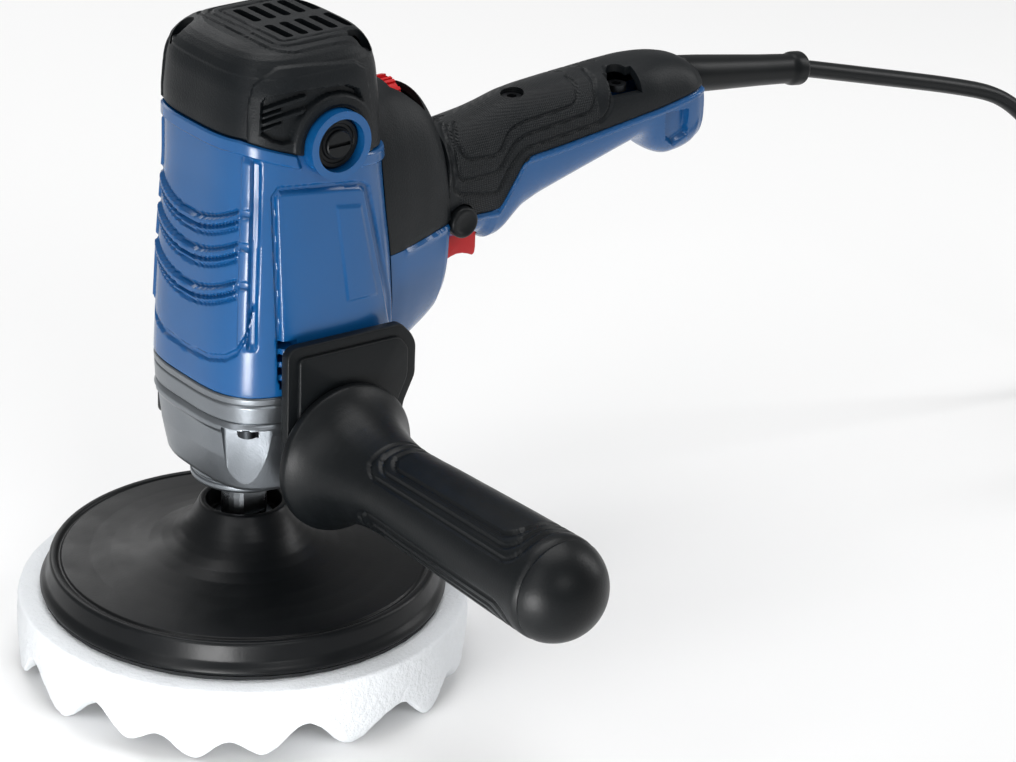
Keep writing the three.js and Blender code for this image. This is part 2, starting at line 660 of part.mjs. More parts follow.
// Thumbwheel with ribs along its axis.
function speedDial() {
  const grooves = [];
  const count = 24;
  for (let i = 0; i < count; i += 1) {
    const groove = new THREE.BoxGeometry(DIAL_BACK - DIAL_FRONT + 2, 1, 1.1).translate(0, DIAL_RADIUS, 0);
    groove.rotateX((i / count) * 2 * Math.PI).translate((DIAL_FRONT + DIAL_BACK) / 2, 0, DIAL_Z);
    grooves.push(solid(groove));
  }
  return cut(rodX(DIAL_RADIUS, DIAL_FRONT, DIAL_BACK, 0, DIAL_Z, 48), ...grooves);
}
// Potentiometer behind the wheel, on its circuit board.
const speedModule = () =>
  join(rodX(6.5, DIAL_BACK + 0.4, 69, 0, DIAL_Z - 4, 20), block(64, 66, -11, 11, 176, 206));

// ---------------------------------------------------------------- side guards and side grip
// Moulded plate over the handle socket, with bevelled edges.
function sideGuard(side) {
  const outline = [
    [-10.6, 88], [-6.6, 85.6], [31, 85.6], [38, 92], [41.7, 111.8], [46.5, 121.5],
    [46.5, 134], [44.6, 138], [40, 143], [-8, 144.6], [-10.6, 142],
  ];
  const edge = [[-6.4, 90], [29, 90], [37.4, 113], [42, 122.6], [42, 134], [38, 139], [-6.4, 140.4]];
  const plate = prismY(outline, ...alongY(side, GUARD_INNER, GUARD_OUTER - 1.6));
  const raised = prismY(edge, ...alongY(side, GUARD_INNER + 1, GUARD_OUTER));
  return cut(join(plate, raised), rodY(4.3, -60, 60, SIDE_GRIP_X, SIDE_GRIP_Z, 24));
}

const FLANGE_FACE = GUARD_OUTER + 0.4;
function sideGrip() {
  const profile = [
    [0, 62.5], [4.3, 62.5], [4.3, 0], [26.8, 0], [28.5, 1.2], [28.5, 4], [27.4, 5.4],
    [24, 9.6], [21, 15.4], [18.8, 22.6], [17.4, 31], [17, 38], [17.6, 56], [18.2, 76], [18.9, 100], [19.4, 124.4],
  ];
  const steps = 7;
  for (let i = 1; i < steps; i += 1) {
    const angle = (i / steps) * (Math.PI / 2);
    profile.push([19.4 * Math.cos(angle), 124.4 + 19.4 * Math.sin(angle)]);
  }
  profile.push([0, 143.8]);
  const points = profile.map(([radius, along]) => new THREE.Vector2(radius, along));
  const body = new THREE.LatheGeometry(points, 28).rotateX(Math.PI);
  return solid(body.translate(SIDE_GRIP_X, -FLANGE_FACE, SIDE_GRIP_Z));
}
const sideGripStud = () => rodY(4, -FLANGE_FACE - 62, -27, SIDE_GRIP_X, SIDE_GRIP_Z, 20);

// ---------------------------------------------------------------- cord set
function strainRelief() {
  const { start, end, direction } = strainReliefAxis();
  const span = start.distanceTo(end);
  const profile = [
    [3.9, 0], [7.6, 0], [7.4, 8], [6.7, span * 0.5], [6, span - 7], [6.9, span - 5.4],
    [6.9, span - 0.8], [6.4, span], [3.9, span], [3.9, 0],
  ];
  const points = profile.map(([radius, along]) => new THREE.Vector2(radius, along));
  return solid(placedAlong(new THREE.LatheGeometry(points, 20), start, direction));
}

// The lead slopes out of the strain relief, then drops to the floor and runs into its coil.
const COIL_X = 505;
const COIL_Y = -48.5;
const COIL_MIDDLE = 38.5; // radius of the middle turn
const COIL_HALF = 10.6; // half the width of the bundle
const COIL_REACH = 34.9; // where a tangent cord meets the outside of the bundle
const LEAD_ROUTE = [
  [270.9, 0, 184.6], [290, 0, 179.4], [315, 0, 172.4], [340, 0, 165.4], [365, 0, 158], [388, -1, 149.6],
  [407, -3, 134], [420, -5, 115], [428, -7, 93], [433, -8, 70], [438, -9, 48], [445, -10, 29],
  [455, -10, 15.5], [COIL_X - COIL_REACH, COIL_Y + COIL_MIDDLE, 10],
];
const TAIL_ROUTE = [
  [COIL_X - COIL_REACH, COIL_Y - COIL_MIDDLE, 12], [464, -87, 13.4], [457, -87, 16.2], [450, -87, 17.8],
  [447, -87, 17.9], [444, -87, 17.9],
];

function tube(route, steps) {
  const curve = new THREE.CatmullRomCurve3(route.map(([x, y, z]) => new THREE.Vector3(x, y, z)), false, 'centripetal');
  const shape = new THREE.Shape();
  shape.absarc(0, 0, CORD_RADIUS, 0, 2 * Math.PI);
  return solid(new THREE.ExtrudeGeometry(shape, { steps, extrudePath: curve, curveSegments: 8 }));
}
const cordLead = () => tube(LEAD_ROUTE, 24);
const cordTail = () => tube(TAIL_ROUTE, 5);
function cordCoil() {
  const low = 0.9;
  const high = 22;
  const [inner, outer] = [COIL_MIDDLE - COIL_HALF, COIL_MIDDLE + COIL_HALF];
  return turned([
    [inner, low + 3], [inner + 3, low], [outer - 3, low], [outer, low + 3], [outer, high - 3],
    [outer - 3, high], [inner + 3, high], [inner, high - 3], [inner, low + 3],
  ], 36, COIL_X, COIL_Y);
}
function cordTie() {
  const angle = -40; // degrees round the coil
  const arch = cut(
    block(COIL_MIDDLE - COIL_HALF - 2.4, COIL_MIDDLE + COIL_HALF + 2.4, -5, 5, 1, 24),
    block(COIL_MIDDLE - COIL_HALF - 1, COIL_MIDDLE + COIL_HALF + 1, -9, 9, 0, 22.5),
  );
  return arch.rotate([0, 0, angle]).translate([COIL_X, COIL_Y, 0]);
}

// Moulded two-pin plug, lying on its side next to the coil and pointing back along -X.
const PLUG_X = 443.7;
const PLUG_Y = -87;
const PLUG_Z = 17.9;
const PLUG_LONG = 48;
const PIN_LONG = 19;
function plugBody() {
  const profile = [
    [0, 0], [5.2, 0], [6.4, 10], [8.4, 20], [12, 26], [16.5, 30], [17.6, 34], [17.6, 46], [16.6, PLUG_LONG],
    [0, PLUG_LONG],
  ];
  const points = profile.map(([radius, along]) => new THREE.Vector2(radius, along));
  const body = new THREE.LatheGeometry(points, 24).rotateZ(Math.PI / 2);
  return solid(body.translate(PLUG_X, PLUG_Y, PLUG_Z));
}
const plugPin = (side) => {
  const front = PLUG_X - PLUG_LONG - GAP;
  return rodX(2.4, front - PIN_LONG, front, PLUG_Y + side * 9.5, PLUG_Z, 16);
};

// ---------------------------------------------------------------- assembly
const polisher = new THREE.Group();
polisher.name = 'rotary_polisher';

function group(name, pieces) {
  const branch = new THREE.Group();
  branch.name = name;
  for (const [piece, body, material] of pieces) {
    const mesh = new THREE.Mesh(geometryOf(body), material);
    mesh.name = piece;
    branch.add(mesh);
  }
  polisher.add(branch);
}

group('pad_and_spindle', [
  ['foam_pad', foamPad(), FOAM],
  ['hook_and_loop_disc', hookDisc(), BLACK],
  ['backing_pad', backingPad(), RUBBER],
  ['pad_insert', padInsert(), STEEL],
  ['spindle', spindle(), STEEL],
  ['output_gear', outputGear(), STEEL],
]);
group('lay_shaft_group', [
  ['lay_shaft', layShaft(), STEEL],
  ['lay_gear', layGear(), STEEL],
]);
group('armature_group', [
  ['armature_shaft', armatureShaft(), STEEL],
  ['armature_core', armatureCore(), STEEL],
  ['armature_winding_lower', windingHead(147.6, 151.7), COPPER],
  ['armature_winding_upper', windingHead(196.3, 205), COPPER],
  ['commutator', commutator(), COPPER],
  ['cooling_fan', coolingFan(), BLACK],
]);
group('gear_case', [
  ['bearing_collar', bearingCollar(), SILVER],
  ['spindle_lower_bearing', lowerBearing(), STEEL],
  ['gearbox_housing', gearboxHousing(), SILVER],
  ['gearbox_ring', gearboxRing(), SILVER],
  ...CORNER_SCREWS.map(({ name, x, y }) => [name, gearboxScrew(x, y), STEEL]),
]);
group('motor', [
  ['armature_lower_bearing', armatureLowerBearing(), STEEL],
  ['armature_upper_bearing', armatureUpperBearing(), STEEL],
  ['stator_core', statorCore(), STEEL],
  ['field_coil_front', fieldCoil(-1), COPPER],
  ['field_coil_rear', fieldCoil(1), COPPER],
  ['carbon_brush_right', carbonBrush(-1), CARBON],
  ['carbon_brush_left', carbonBrush(1), CARBON],
  ['brush_holder_right', brushHolder(-1), BRASS],
  ['brush_holder_left', brushHolder(1), BRASS],
  ['brush_cap_right', brushCap(-1), BLACK],
  ['brush_cap_left', brushCap(1), BLACK],
  ['motor_housing', motorHousing(), BLUE],
  ['top_cover', topCover(), BLACK],
  ...COVER_SCREWS.map(({ name, x, y }) => [name, coverScrew(x, y), STEEL]),
]);
group('rear_handle', [
  ['handle_upper_shell', handleUpperShell(), BLACK],
  ['handle_lower_shell', handleLowerShell(), BLUE],
  ['trigger', trigger(), RED],
  ['trigger_switch', triggerSwitch(), CARBON],
  ['lock_button', lockButton(), BLACK],
  ['speed_dial', speedDial(), RED],
  ['speed_module', speedModule(), BOARD],
  ...HANDLE_SCREWS.map(({ name, x, y, top }) => [name, handleScrew(x, y, top), STEEL]),
]);
group('side_handle', [
  ['side_guard_right', sideGuard(-1), BLACK],
  ['side_guard_left', sideGuard(1), BLACK],
  ['side_grip', sideGrip(), RUBBER],
  ['side_grip_stud', sideGripStud(), STEEL],
]);
group('cord_set', [
  ['strain_relief', strainRelief(), RUBBER],
  ['cord_lead', cordLead(), RUBBER],
  ['cord_coil', cordCoil(), RUBBER],
  ['cord_tail', cordTail(), RUBBER],
  ['cord_tie', cordTie(), BLACK],
  ['plug_body', plugBody(), RUBBER],
  ['plug_pin_right', plugPin(-1), STEEL],
  ['plug_pin_left', plugPin(1), STEEL],
]);

export default polisher;
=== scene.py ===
import math

import bmesh
import bpy
import numpy as np
from mathutils import Matrix, Vector


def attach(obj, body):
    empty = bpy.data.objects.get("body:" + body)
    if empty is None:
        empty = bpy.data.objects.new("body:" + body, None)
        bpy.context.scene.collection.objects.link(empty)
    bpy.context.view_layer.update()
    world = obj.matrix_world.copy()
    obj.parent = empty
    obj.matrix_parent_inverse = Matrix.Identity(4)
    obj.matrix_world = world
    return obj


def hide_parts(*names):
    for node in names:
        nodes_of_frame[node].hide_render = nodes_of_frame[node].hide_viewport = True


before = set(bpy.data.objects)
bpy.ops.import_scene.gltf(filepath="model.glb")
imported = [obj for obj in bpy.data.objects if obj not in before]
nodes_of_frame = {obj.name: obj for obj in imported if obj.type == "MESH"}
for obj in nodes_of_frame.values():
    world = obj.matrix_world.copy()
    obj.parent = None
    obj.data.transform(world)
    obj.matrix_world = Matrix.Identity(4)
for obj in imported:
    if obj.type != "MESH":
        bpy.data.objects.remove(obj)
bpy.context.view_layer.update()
scene = bpy.context.scene

# ---- Stand, light and viewpoint
# The tool stands on its foam pad on a pale matt floor, under large soft boxes.
# The viewpoint looks down on it from the front right, as in a product picture.
MM = 0.001
BACKDROP = 0.86
VIEW_FROM = (-682.9, -1005.8, 672.3)
VIEW_AHEAD, VIEW_ABOVE = (0.5695, 0.7089, -0.4161), (0, 0.4161, 0.9093)
VIEW_HEADING, VIEW_ROLL = -38.78, 2.23
LENS_LONG, SENSOR_WIDE = 127.56, 36


def tone(code):
    """A paint-card colour such as 2b64a8 as linear light."""
    steps = [v / 255 for v in bytes.fromhex(code)]
    return (*[s / 12.92 if s <= 0.04045 else ((s + 0.055) / 1.055) ** 2.4 for s in steps], 1.0)


def place_viewpoint():
    """A long lens held a little out of level, with its shift left at nothing."""
    roll = math.radians(VIEW_ROLL)
    level = Matrix.Rotation(math.radians(VIEW_HEADING), 3, "Z")
    right, above = level @ Vector((1, 0, 0)), level @ Vector(VIEW_ABOVE)
    across = math.cos(roll) * right + math.sin(roll) * above
    upward = math.cos(roll) * above - math.sin(roll) * right
    lens = bpy.data.cameras.new("viewpoint")
    lens.sensor_width = SENSOR_WIDE
    lens.lens = LENS_LONG
    lens.clip_end = 20
    eye = bpy.data.objects.new("viewpoint", lens)
    turn = Matrix((across, upward, -Vector(VIEW_AHEAD))).transposed().to_4x4()
    eye.matrix_world = Matrix.Translation(Vector(VIEW_FROM) * MM) @ turn
    scene.collection.objects.link(eye)
    scene.camera = eye


def soft_box(name, place, aim, width, height, power):
    """A white area light aimed at a spot, which the viewpoint itself doesn't see."""
    panel = bpy.data.lights.new(name, "AREA")
    panel.shape = "RECTANGLE"
    panel.size = width
    panel.size_y = height
    panel.energy = power
    box = bpy.data.objects.new(name, panel)
    box.matrix_world = Matrix.Translation(place) @ (
        (Vector(aim) - Vector(place)).to_track_quat("-Z", "Y").to_matrix().to_4x4()
    )
    box.visible_camera = False
    scene.collection.objects.link(box)


place_viewpoint()
soft_box("key_box", (-1.25, -0.35, 0.95), (0.0, 0, 0.15), 0.35, 1.3, 5)
soft_box("front_box", (-0.35, -1.6, 1.1), (0.05, 0, 0.12), 0.7, 0.4, 4.6)
soft_box("top_box", (0.2, 0.25, 1.7), (0.1, 0, 0.1), 1.3, 1.0, 17)
soft_box("edge_box", (1.5, -0.45, 0.85), (0.1, -0.05, 0.12), 0.3, 1.2, 7)
soft_box("corner_strip", (-0.27, -0.235, 0.055), (0.0, -0.02, 0.13), 0.10, 0.10, 0.9)
soft_box("back_box", (0.2, 1.6, 0.9), (0.1, 0, 0.12), 1.2, 0.6, 6)

sky = bpy.data.worlds.new("studio")
sky.use_nodes = True
sky.node_tree.nodes["Background"].inputs["Color"].default_value = (1, 1, 1, 1)
sky.node_tree.nodes["Background"].inputs["Strength"].default_value = 0.30
scene.world = sky
scene.view_settings.view_transform = "Standard"

floor_mesh = bpy.data.meshes.new("floor")
floor_mesh.from_pydata([(-6, -6, 0), (9, -6, 0), (9, 9, 0), (-6, 9, 0)], [], [(0, 1, 2, 3)])
floor = bpy.data.objects.new("floor", floor_mesh)
scene.collection.objects.link(floor)
floor_paint = bpy.data.materials.new("floor_paint")
floor_paint.use_nodes = True
floor_paint.node_tree.nodes["Principled BSDF"].inputs["Base Color"].default_value = (BACKDROP,) * 3 + (1,)
floor_paint.node_tree.nodes["Principled BSDF"].inputs["Roughness"].default_value = 0.9
floor_paint.node_tree.nodes["Principled BSDF"].inputs["Specular IOR Level"].default_value = 0.1
floor_mesh.materials.append(floor_paint)

# ---- Mains cord
# One two-core flexible cord in a smooth black rubber sheath, 7 mm thick. It hangs from the
# strain relief at the rear grip to the floor and ends in a tidy hand-wound coil.
CORD_THICK = 7.0
LEAD_ROUTE = [
    (270.5, 0, 184.8), (290, 0, 179.4), (315, 0, 172.4), (340, 0, 165.4), (365, 0, 158), (388, -1, 149.6),
    (407, -3, 134), (420, -5, 115), (428, -7, 93), (433, -8, 70), (438, -9, 48), (445, -9.5, 29),
    (455, -8.5, 16), (469, -6, 8.2), (484, -3.8, 5), (496, -2.9, 4.4),
]
COIL_CENTRE = (505, -48.5)
COIL_OUTER, COIL_FLOOR, COIL_PITCH = 45.6, 4.4, 7.15
COIL_TURNS, COIL_POINTS = 8.5, 16
COIL_SHIFTS = [(0.83, -1), (1.83, -1), (3.33, 1), (4.33, 1), (5.85, -1), (6.85, -1)]
COIL_CLIMBS = [2.58, 5.1, 7.6]
TAIL_ROUTE = [
    (490, -80, 25.9), (476, -80.3, 25.8), (466, -81.5, 24.6), (458, -84, 21.8), (451, -86.2, 19),
    (447, -87, 18), (443.9, -87, 17.9),
]


def socketed_group(name, inputs, outputs):
    """A shader node group with named colour and number sockets."""
    tree = bpy.data.node_groups.new(name, "ShaderNodeTree")
    for side, sockets in (("INPUT", inputs), ("OUTPUT", outputs)):
        for label, kind in sockets:
            tree.interface.new_socket(label, in_out=side, socket_type="NodeSocket" + kind)
    return tree, tree.nodes.new("NodeGroupInput"), tree.nodes.new("NodeGroupOutput")


def worked_surface_group():
    """Faint cloudiness of colour and gloss, and a fine grain height, for every moulded or cast finish."""
    tree, given, result = socketed_group(
        "worked surface",
        [("Colour", "Color"), ("Roughness", "Float"), ("Cloud Scale", "Float"), ("Cloud", "Float"),
         ("Gloss Spread", "Float"), ("Grain Scale", "Float")],
        [("Colour", "Color"), ("Roughness", "Float"), ("Height", "Float")],
    )
    new, link = tree.nodes.new, tree.links.new
    place = new("ShaderNodeTexCoord")
    cloud, grain, smear = new("ShaderNodeTexNoise"), new("ShaderNodeTexNoise"), new("ShaderNodeTexNoise")
    cloud.inputs["Detail"].default_value = 4
    grain.inputs["Detail"].default_value = 3
    smear.inputs["Scale"].default_value = 95
    smear.inputs["Detail"].default_value = 6
    for noise in (cloud, grain, smear):
        link(place.outputs["Object"], noise.inputs["Vector"])
    link(given.outputs["Cloud Scale"], cloud.inputs["Scale"])
    link(given.outputs["Grain Scale"], grain.inputs["Scale"])
    centred, amount, bright = new("ShaderNodeMath"), new("ShaderNodeMath"), new("ShaderNodeMath")
    centred.operation, amount.operation, bright.operation = "SUBTRACT", "MULTIPLY", "ADD"
    centred.inputs[1].default_value = 0.5
    bright.inputs[1].default_value = 1.0
    link(cloud.outputs["Fac"], centred.inputs[0])
    link(centred.outputs[0], amount.inputs[0])
    link(given.outputs["Cloud"], amount.inputs[1])
    link(amount.outputs[0], bright.inputs[0])
    shaded = new("ShaderNodeVectorMath")
    shaded.operation = "SCALE"
    link(given.outputs["Colour"], shaded.inputs[0])
    link(bright.outputs[0], shaded.inputs["Scale"])
    link(shaded.outputs[0], result.inputs["Colour"])
    off, spread, rough = new("ShaderNodeMath"), new("ShaderNodeMath"), new("ShaderNodeMath")
    off.operation, spread.operation, rough.operation = "SUBTRACT", "MULTIPLY", "ADD"
    rough.use_clamp = True
    off.inputs[1].default_value = 0.5
    link(smear.outputs["Fac"], off.inputs[0])
    link(off.outputs[0], spread.inputs[0])
    link(given.outputs["Gloss Spread"], spread.inputs[1])
    link(spread.outputs[0], rough.inputs[0])
    link(given.outputs["Roughness"], rough.inputs[1])
    link(rough.outputs[0], result.inputs["Roughness"])
    link(grain.outputs["Fac"], result.inputs["Height"])
    return tree


worked_surface = worked_surface_group()


def finish_of(name, colour, roughness, metallic=0.0, grain=1500, depth=0.06, cloud=0.3, scale=28, spread=0.16,
              specular=0.5):
    """A finish on the worked surface group. depth is the grain's height in millimetres."""
    made = bpy.data.materials.new(name)
    made.use_nodes = True
    tree = made.node_tree
    shader = tree.nodes["Principled BSDF"]
    surface = tree.nodes.new("ShaderNodeGroup")
    surface.node_tree = worked_surface
    for label, value in (("Colour", tone(colour)), ("Roughness", roughness), ("Cloud Scale", scale),
                         ("Cloud", cloud), ("Gloss Spread", spread), ("Grain Scale", grain)):
        surface.inputs[label].default_value = value
    relief = tree.nodes.new("ShaderNodeBump")
    relief.inputs["Strength"].default_value = 0.6
    relief.inputs["Distance"].default_value = depth * MM
    shader.inputs["Metallic"].default_value = metallic
    shader.inputs["Specular IOR Level"].default_value = specular
    tree.links.new(surface.outputs["Colour"], shader.inputs["Base Color"])
    tree.links.new(surface.outputs["Roughness"], shader.inputs["Roughness"])
    tree.links.new(surface.outputs["Height"], relief.inputs["Height"])
    tree.links.new(relief.outputs["Normal"], shader.inputs["Normal"])
    return made


def eased(value):
    """A smooth step from zero to one."""
    value = np.clip(value, 0, 1)
    return value * value * (3 - 2 * value)


def coil_point(turns):
    """A point on the coil after so many turns, moved in or out and up by a lay where the hand winds it so."""
    radius = COIL_OUTER + COIL_PITCH * sum(way * eased((turns - at) / 0.17) for at, way in COIL_SHIFTS)
    height = COIL_FLOOR + COIL_PITCH * sum(eased((turns - at) / 0.17) for at in COIL_CLIMBS)
    kept_round = 3 / (2 + math.cos(2 * math.pi / COIL_POINTS))
    angle = math.pi / 2 - 2 * math.pi * turns
    return (
        COIL_CENTRE[0] + radius * kept_round * math.cos(angle),
        COIL_CENTRE[1] + radius * kept_round * math.sin(angle),
        height,
    )


def doubled(route):
    """The route with a point added on the smooth line between each two."""
    points = [Vector(p) for p in route]
    ends = [2 * points[0] - points[1], *points, 2 * points[-1] - points[-2]]
    full = []
    for a, b, c, d in zip(ends, ends[1:], ends[2:], ends[3:]):
        full += [b, (9 * (b + c) - a - d) / 16]
    return full + [points[-1]]


def laid_cord():
    """One smooth round tube along the lead, the coil and the tail."""
    coil = [coil_point(i / COIL_POINTS) for i in range(int(COIL_TURNS * COIL_POINTS) + 1)]
    route = [Vector(p) for p in (*doubled(LEAD_ROUTE), *coil, *TAIL_ROUTE)]
    line = bpy.data.curves.new("mains_cord", "CURVE")
    line.dimensions = "3D"
    line.resolution_u = 4
    line.bevel_depth = CORD_THICK / 2 * MM
    line.bevel_resolution = 3
    line.use_fill_caps = True
    spline = line.splines.new("NURBS")
    spline.points.add(len(route) - 1)
    for control, place in zip(spline.points, route):
        control.co = (*(place * MM), 1)
    spline.order_u = 4
    spline.use_endpoint_u = True
    piece = bpy.data.objects.new("mains_cord", line)
    scene.collection.objects.link(piece)
    return piece


cord_rubber = finish_of("cord_rubber", "0c0f11", 0.38, grain=900, depth=0.03, specular=0.22)
mains_cord = laid_cord()
mains_cord.data.materials.append(cord_rubber)
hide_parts("cord_lead", "cord_coil", "cord_tail")
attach(mains_cord, "body")

# ---- Cord tie
# A thin strip of hook-and-loop tape, wrapped once round the side of the coil to hold its turns.
# Its ends overlap on top, so it is a little thicker there.
TIE_ANGLE, TIE_WIDE, TIE_THICK = -40, 10, 1.0


def made_piece(name, points, faces, sharp=32):
    """A closed mesh from points in millimetres, with its faces turned outwards and its real edges kept sharp."""
    mesh = bpy.data.meshes.new(name)
    mesh.from_pydata((np.asarray(points, float) * MM).tolist(), [], faces)
    shape = bmesh.new()
    shape.from_mesh(mesh)
    bmesh.ops.remove_doubles(shape, verts=shape.verts, dist=1e-7)
    bmesh.ops.recalc_face_normals(shape, faces=shape.faces)
    shape.to_mesh(mesh)
    shape.free()
    piece = bpy.data.objects.new(name, mesh)
    scene.collection.objects.link(piece)
    mesh.shade_smooth()
    mesh.set_sharp_from_angle(angle=math.radians(sharp))
    return piece


def skinned(name, rings, looped=False, sharp=32):
    """A closed skin over rings of equal length: capped at both ends, or joined round when looped."""
    rings = np.asarray(rings, float)
    count, around = rings.shape[:2]
    points = rings.reshape(-1, 3)
    step = np.arange(around)
    after = (step + 1) % around
    faces = []
    for i in range(count if looped else count - 1):
        low, high = i * around, (i + 1) % count * around
        faces += np.stack([low + step, low + after, high + after, high + step], 1).tolist()
    if not looped:
        points = np.vstack([points, rings[0].mean(0), rings[-1].mean(0)])
        foot, head = len(points) - 2, len(points) - 1
        last = (count - 1) * around
        faces += np.stack([after, step, np.full(around, foot)], 1).tolist()
        faces += np.stack([last + step, last + after, np.full(around, head)], 1).tolist()
    return made_piece(name, points, faces, sharp)


def finished(piece, material, body, slot, *replaced):
    """The last step of every piece: its finish, the body it moves with and the nodes it stands for."""
    piece.data.materials.clear()
    piece.data.materials.append(material)
    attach(piece, body)
    if replaced:
        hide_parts(*replaced)
    return piece


def tie_strip():
    """A flat band closed in a rounded loop round one side of the coil."""
    inner, outer = COIL_OUTER - 2 * COIL_PITCH - 4.6, COIL_OUTER + 4.4
    low, high = 0.3, COIL_FLOOR + 3 * COIL_PITCH + 4.2
    angle = math.radians(TIE_ANGLE)
    out, along = np.array([math.cos(angle), math.sin(angle), 0]), np.array([-math.sin(angle), math.cos(angle), 0])
    centre = np.array([*COIL_CENTRE, 0])
    rings = []
    for t in np.linspace(0, 2 * math.pi, 64, endpoint=False):
        c, s = math.cos(t), math.sin(t)
        px, pz = np.sign(c) * abs(c) ** 0.35, np.sign(s) * abs(s) ** 0.35
        middle = centre + out * ((inner + outer) / 2 + (outer - inner) / 2 * px)
        middle = middle + np.array([0, 0, (low + high) / 2 + (high - low) / 2 * pz])
        normal = out * c + np.array([0, 0, s])
        thick = TIE_THICK * (1.6 if 0.9 < t < 2.0 else 1)
        rings.append([middle + along * a + normal * b for a, b in
                      ((-TIE_WIDE / 2, 0), (TIE_WIDE / 2, 0), (TIE_WIDE / 2, thick), (-TIE_WIDE / 2, thick))])
    return skinned("cord_tie_strip", rings, looped=True)


tape_black = finish_of("tape_black", "1a1b1d", 0.85, grain=2600, depth=0.3, cloud=0.5)
tie = finished(tie_strip(), tape_black, "body", "black_cloth", "cord_tie")

# ---- Strain relief and plug
# Both are rubber moulded onto the cord. The strain relief is pressed into the end of the grip
# and tapers to a bead; the plug is round with two bare steel pins.
RELIEF_START, RELIEF_END = Vector((204, 0, 194.8)), Vector((270.5, 0, 184.8))
PLUG_FRONT = Vector((443.7, -87, 17.9))
PIN_APART, PIN_RADIUS, PIN_LONG = 9.5, 2.4, 19.0


def softened(points, radius, steps=4, closed=False):
    """The same outline with each corner rounded off."""
    points = [np.array(p, float) for p in points]
    count = len(points)
    smooth = []
    for i, corner in enumerate(points):
        if not closed and i in (0, count - 1):
            smooth.append(corner)
            continue
        before, after = points[i - 1] - corner, points[(i + 1) % count] - corner
        reach = min(radius, 0.45 * np.linalg.norm(before), 0.45 * np.linalg.norm(after))
        start = corner + before / np.linalg.norm(before) * reach
        end = corner + after / np.linalg.norm(after) * reach
        for t in np.linspace(0, 1, steps + 1):
            smooth.append((1 - t) ** 2 * start + 2 * t * (1 - t) * corner + t * t * end)
    return [tuple(p) for p in smooth]


def turned(name, profile, origin=(0, 0, 0), direction=(0, 0, 1), sides=128, sharp=32):
    """A lathe-turned solid from (radius, along) points; a profile that stays off the axis is a ring."""
    spin = Vector((0, 0, 1)).rotation_difference(Vector(direction)).to_matrix()
    angle = np.linspace(0, 2 * math.pi, sides, endpoint=False)
    hollow = profile[0][0] > 0
    rows = profile if hollow else [p for p in profile if p[0] > 0]
    rings = np.array([[(r * math.cos(a), r * math.sin(a), z) for a in angle] for r, z in rows])
    rings = rings @ np.array(spin).T + np.array(origin)
    return skinned(name, rings, looped=hollow, sharp=sharp)


relief_span = (RELIEF_END - RELIEF_START).length
relief_profile = softened(
    [(3.9, 0), (7.6, 0), (7.5, 9), (7.0, 24), (6.3, 44), (6.0, relief_span - 8), (6.9, relief_span - 5.6),
     (6.9, relief_span - 1), (6.2, relief_span), (3.9, relief_span)], 1.4)
finished(turned("strain_relief_sleeve", relief_profile, RELIEF_START, RELIEF_END - RELIEF_START, 96),
         cord_rubber, "body", "cord_rubber", "strain_relief")
plug_profile = softened(
    [(0, 0), (5.2, 0), (5.6, 4), (5.2, 6), (6.2, 10), (5.9, 12), (7.2, 16), (8.6, 21), (12, 26), (16.5, 30),
     (17.6, 34), (17.6, 46), (16.6, 48), (0, 48)], 1.2)
plug = finished(turned("plug_body_moulding", plug_profile, PLUG_FRONT, (-1, 0, 0), 96),
                cord_rubber, "body", "cord_rubber", "plug_body")
pin_steel = finish_of("pin_steel", "a9adb0", 0.3, 1.0, grain=700, depth=0.02)
for side, word in ((-1, "right"), (1, "left")):
    root = PLUG_FRONT + Vector((-48.3, side * PIN_APART, 0))
    pin_profile = softened([(0, 0), (PIN_RADIUS, 0), (PIN_RADIUS, PIN_LONG), (0, PIN_LONG)], 1.6, 6)
    finished(turned("pin_" + word, pin_profile, root, (-1, 0, 0), 48),
                         pin_steel, "body", "steel", "plug_pin_" + word)

# ---- Foam pad
# A disc of soft white open-cell foam, cut with a hot wire so that its underside is a field of
# rounded lobes. The cut skin is a little fuzzy. Its flat top holds to the backing pad.
FOAM_RADIUS, FOAM_TOP = 85.0, 29.2
WAFFLE_PITCH, WAFFLE_DEPTH = 37.0, 14.5


def geometry_tree(name, inputs):
    """A Geometry Nodes tree with its geometry sockets and named inputs."""
    tree = bpy.data.node_groups.new(name, "GeometryNodeTree")
    tree.interface.new_socket("Geometry", in_out="INPUT", socket_type="NodeSocketGeometry")
    for label, kind in inputs:
        tree.interface.new_socket(label, in_out="INPUT", socket_type="NodeSocket" + kind)
    tree.interface.new_socket("Geometry", in_out="OUTPUT", socket_type="NodeSocketGeometry")
    return tree, tree.nodes.new("NodeGroupInput"), tree.nodes.new("NodeGroupOutput")


def closing_nodes(tree, result, geometry):
    """Realize Instances and Set Material, which end every tree."""
    whole, paint = tree.nodes.new("GeometryNodeRealizeInstances"), tree.nodes.new("GeometryNodeSetMaterial")
    given = next(n for n in tree.nodes if n.bl_idname == "NodeGroupInput")
    tree.links.new(geometry, whole.inputs["Geometry"])
    tree.links.new(whole.outputs["Geometry"], paint.inputs["Geometry"])
    tree.links.new(given.outputs["Material"], paint.inputs["Material"])
    tree.links.new(paint.outputs["Geometry"], result.inputs["Geometry"])


def settled(piece):
    """The piece as the plain mesh that its modifiers make."""
    view = bpy.context.evaluated_depsgraph_get()
    mesh = bpy.data.meshes.new_from_object(piece.evaluated_get(view))
    piece.modifiers.clear()
    piece.data = mesh
    return piece


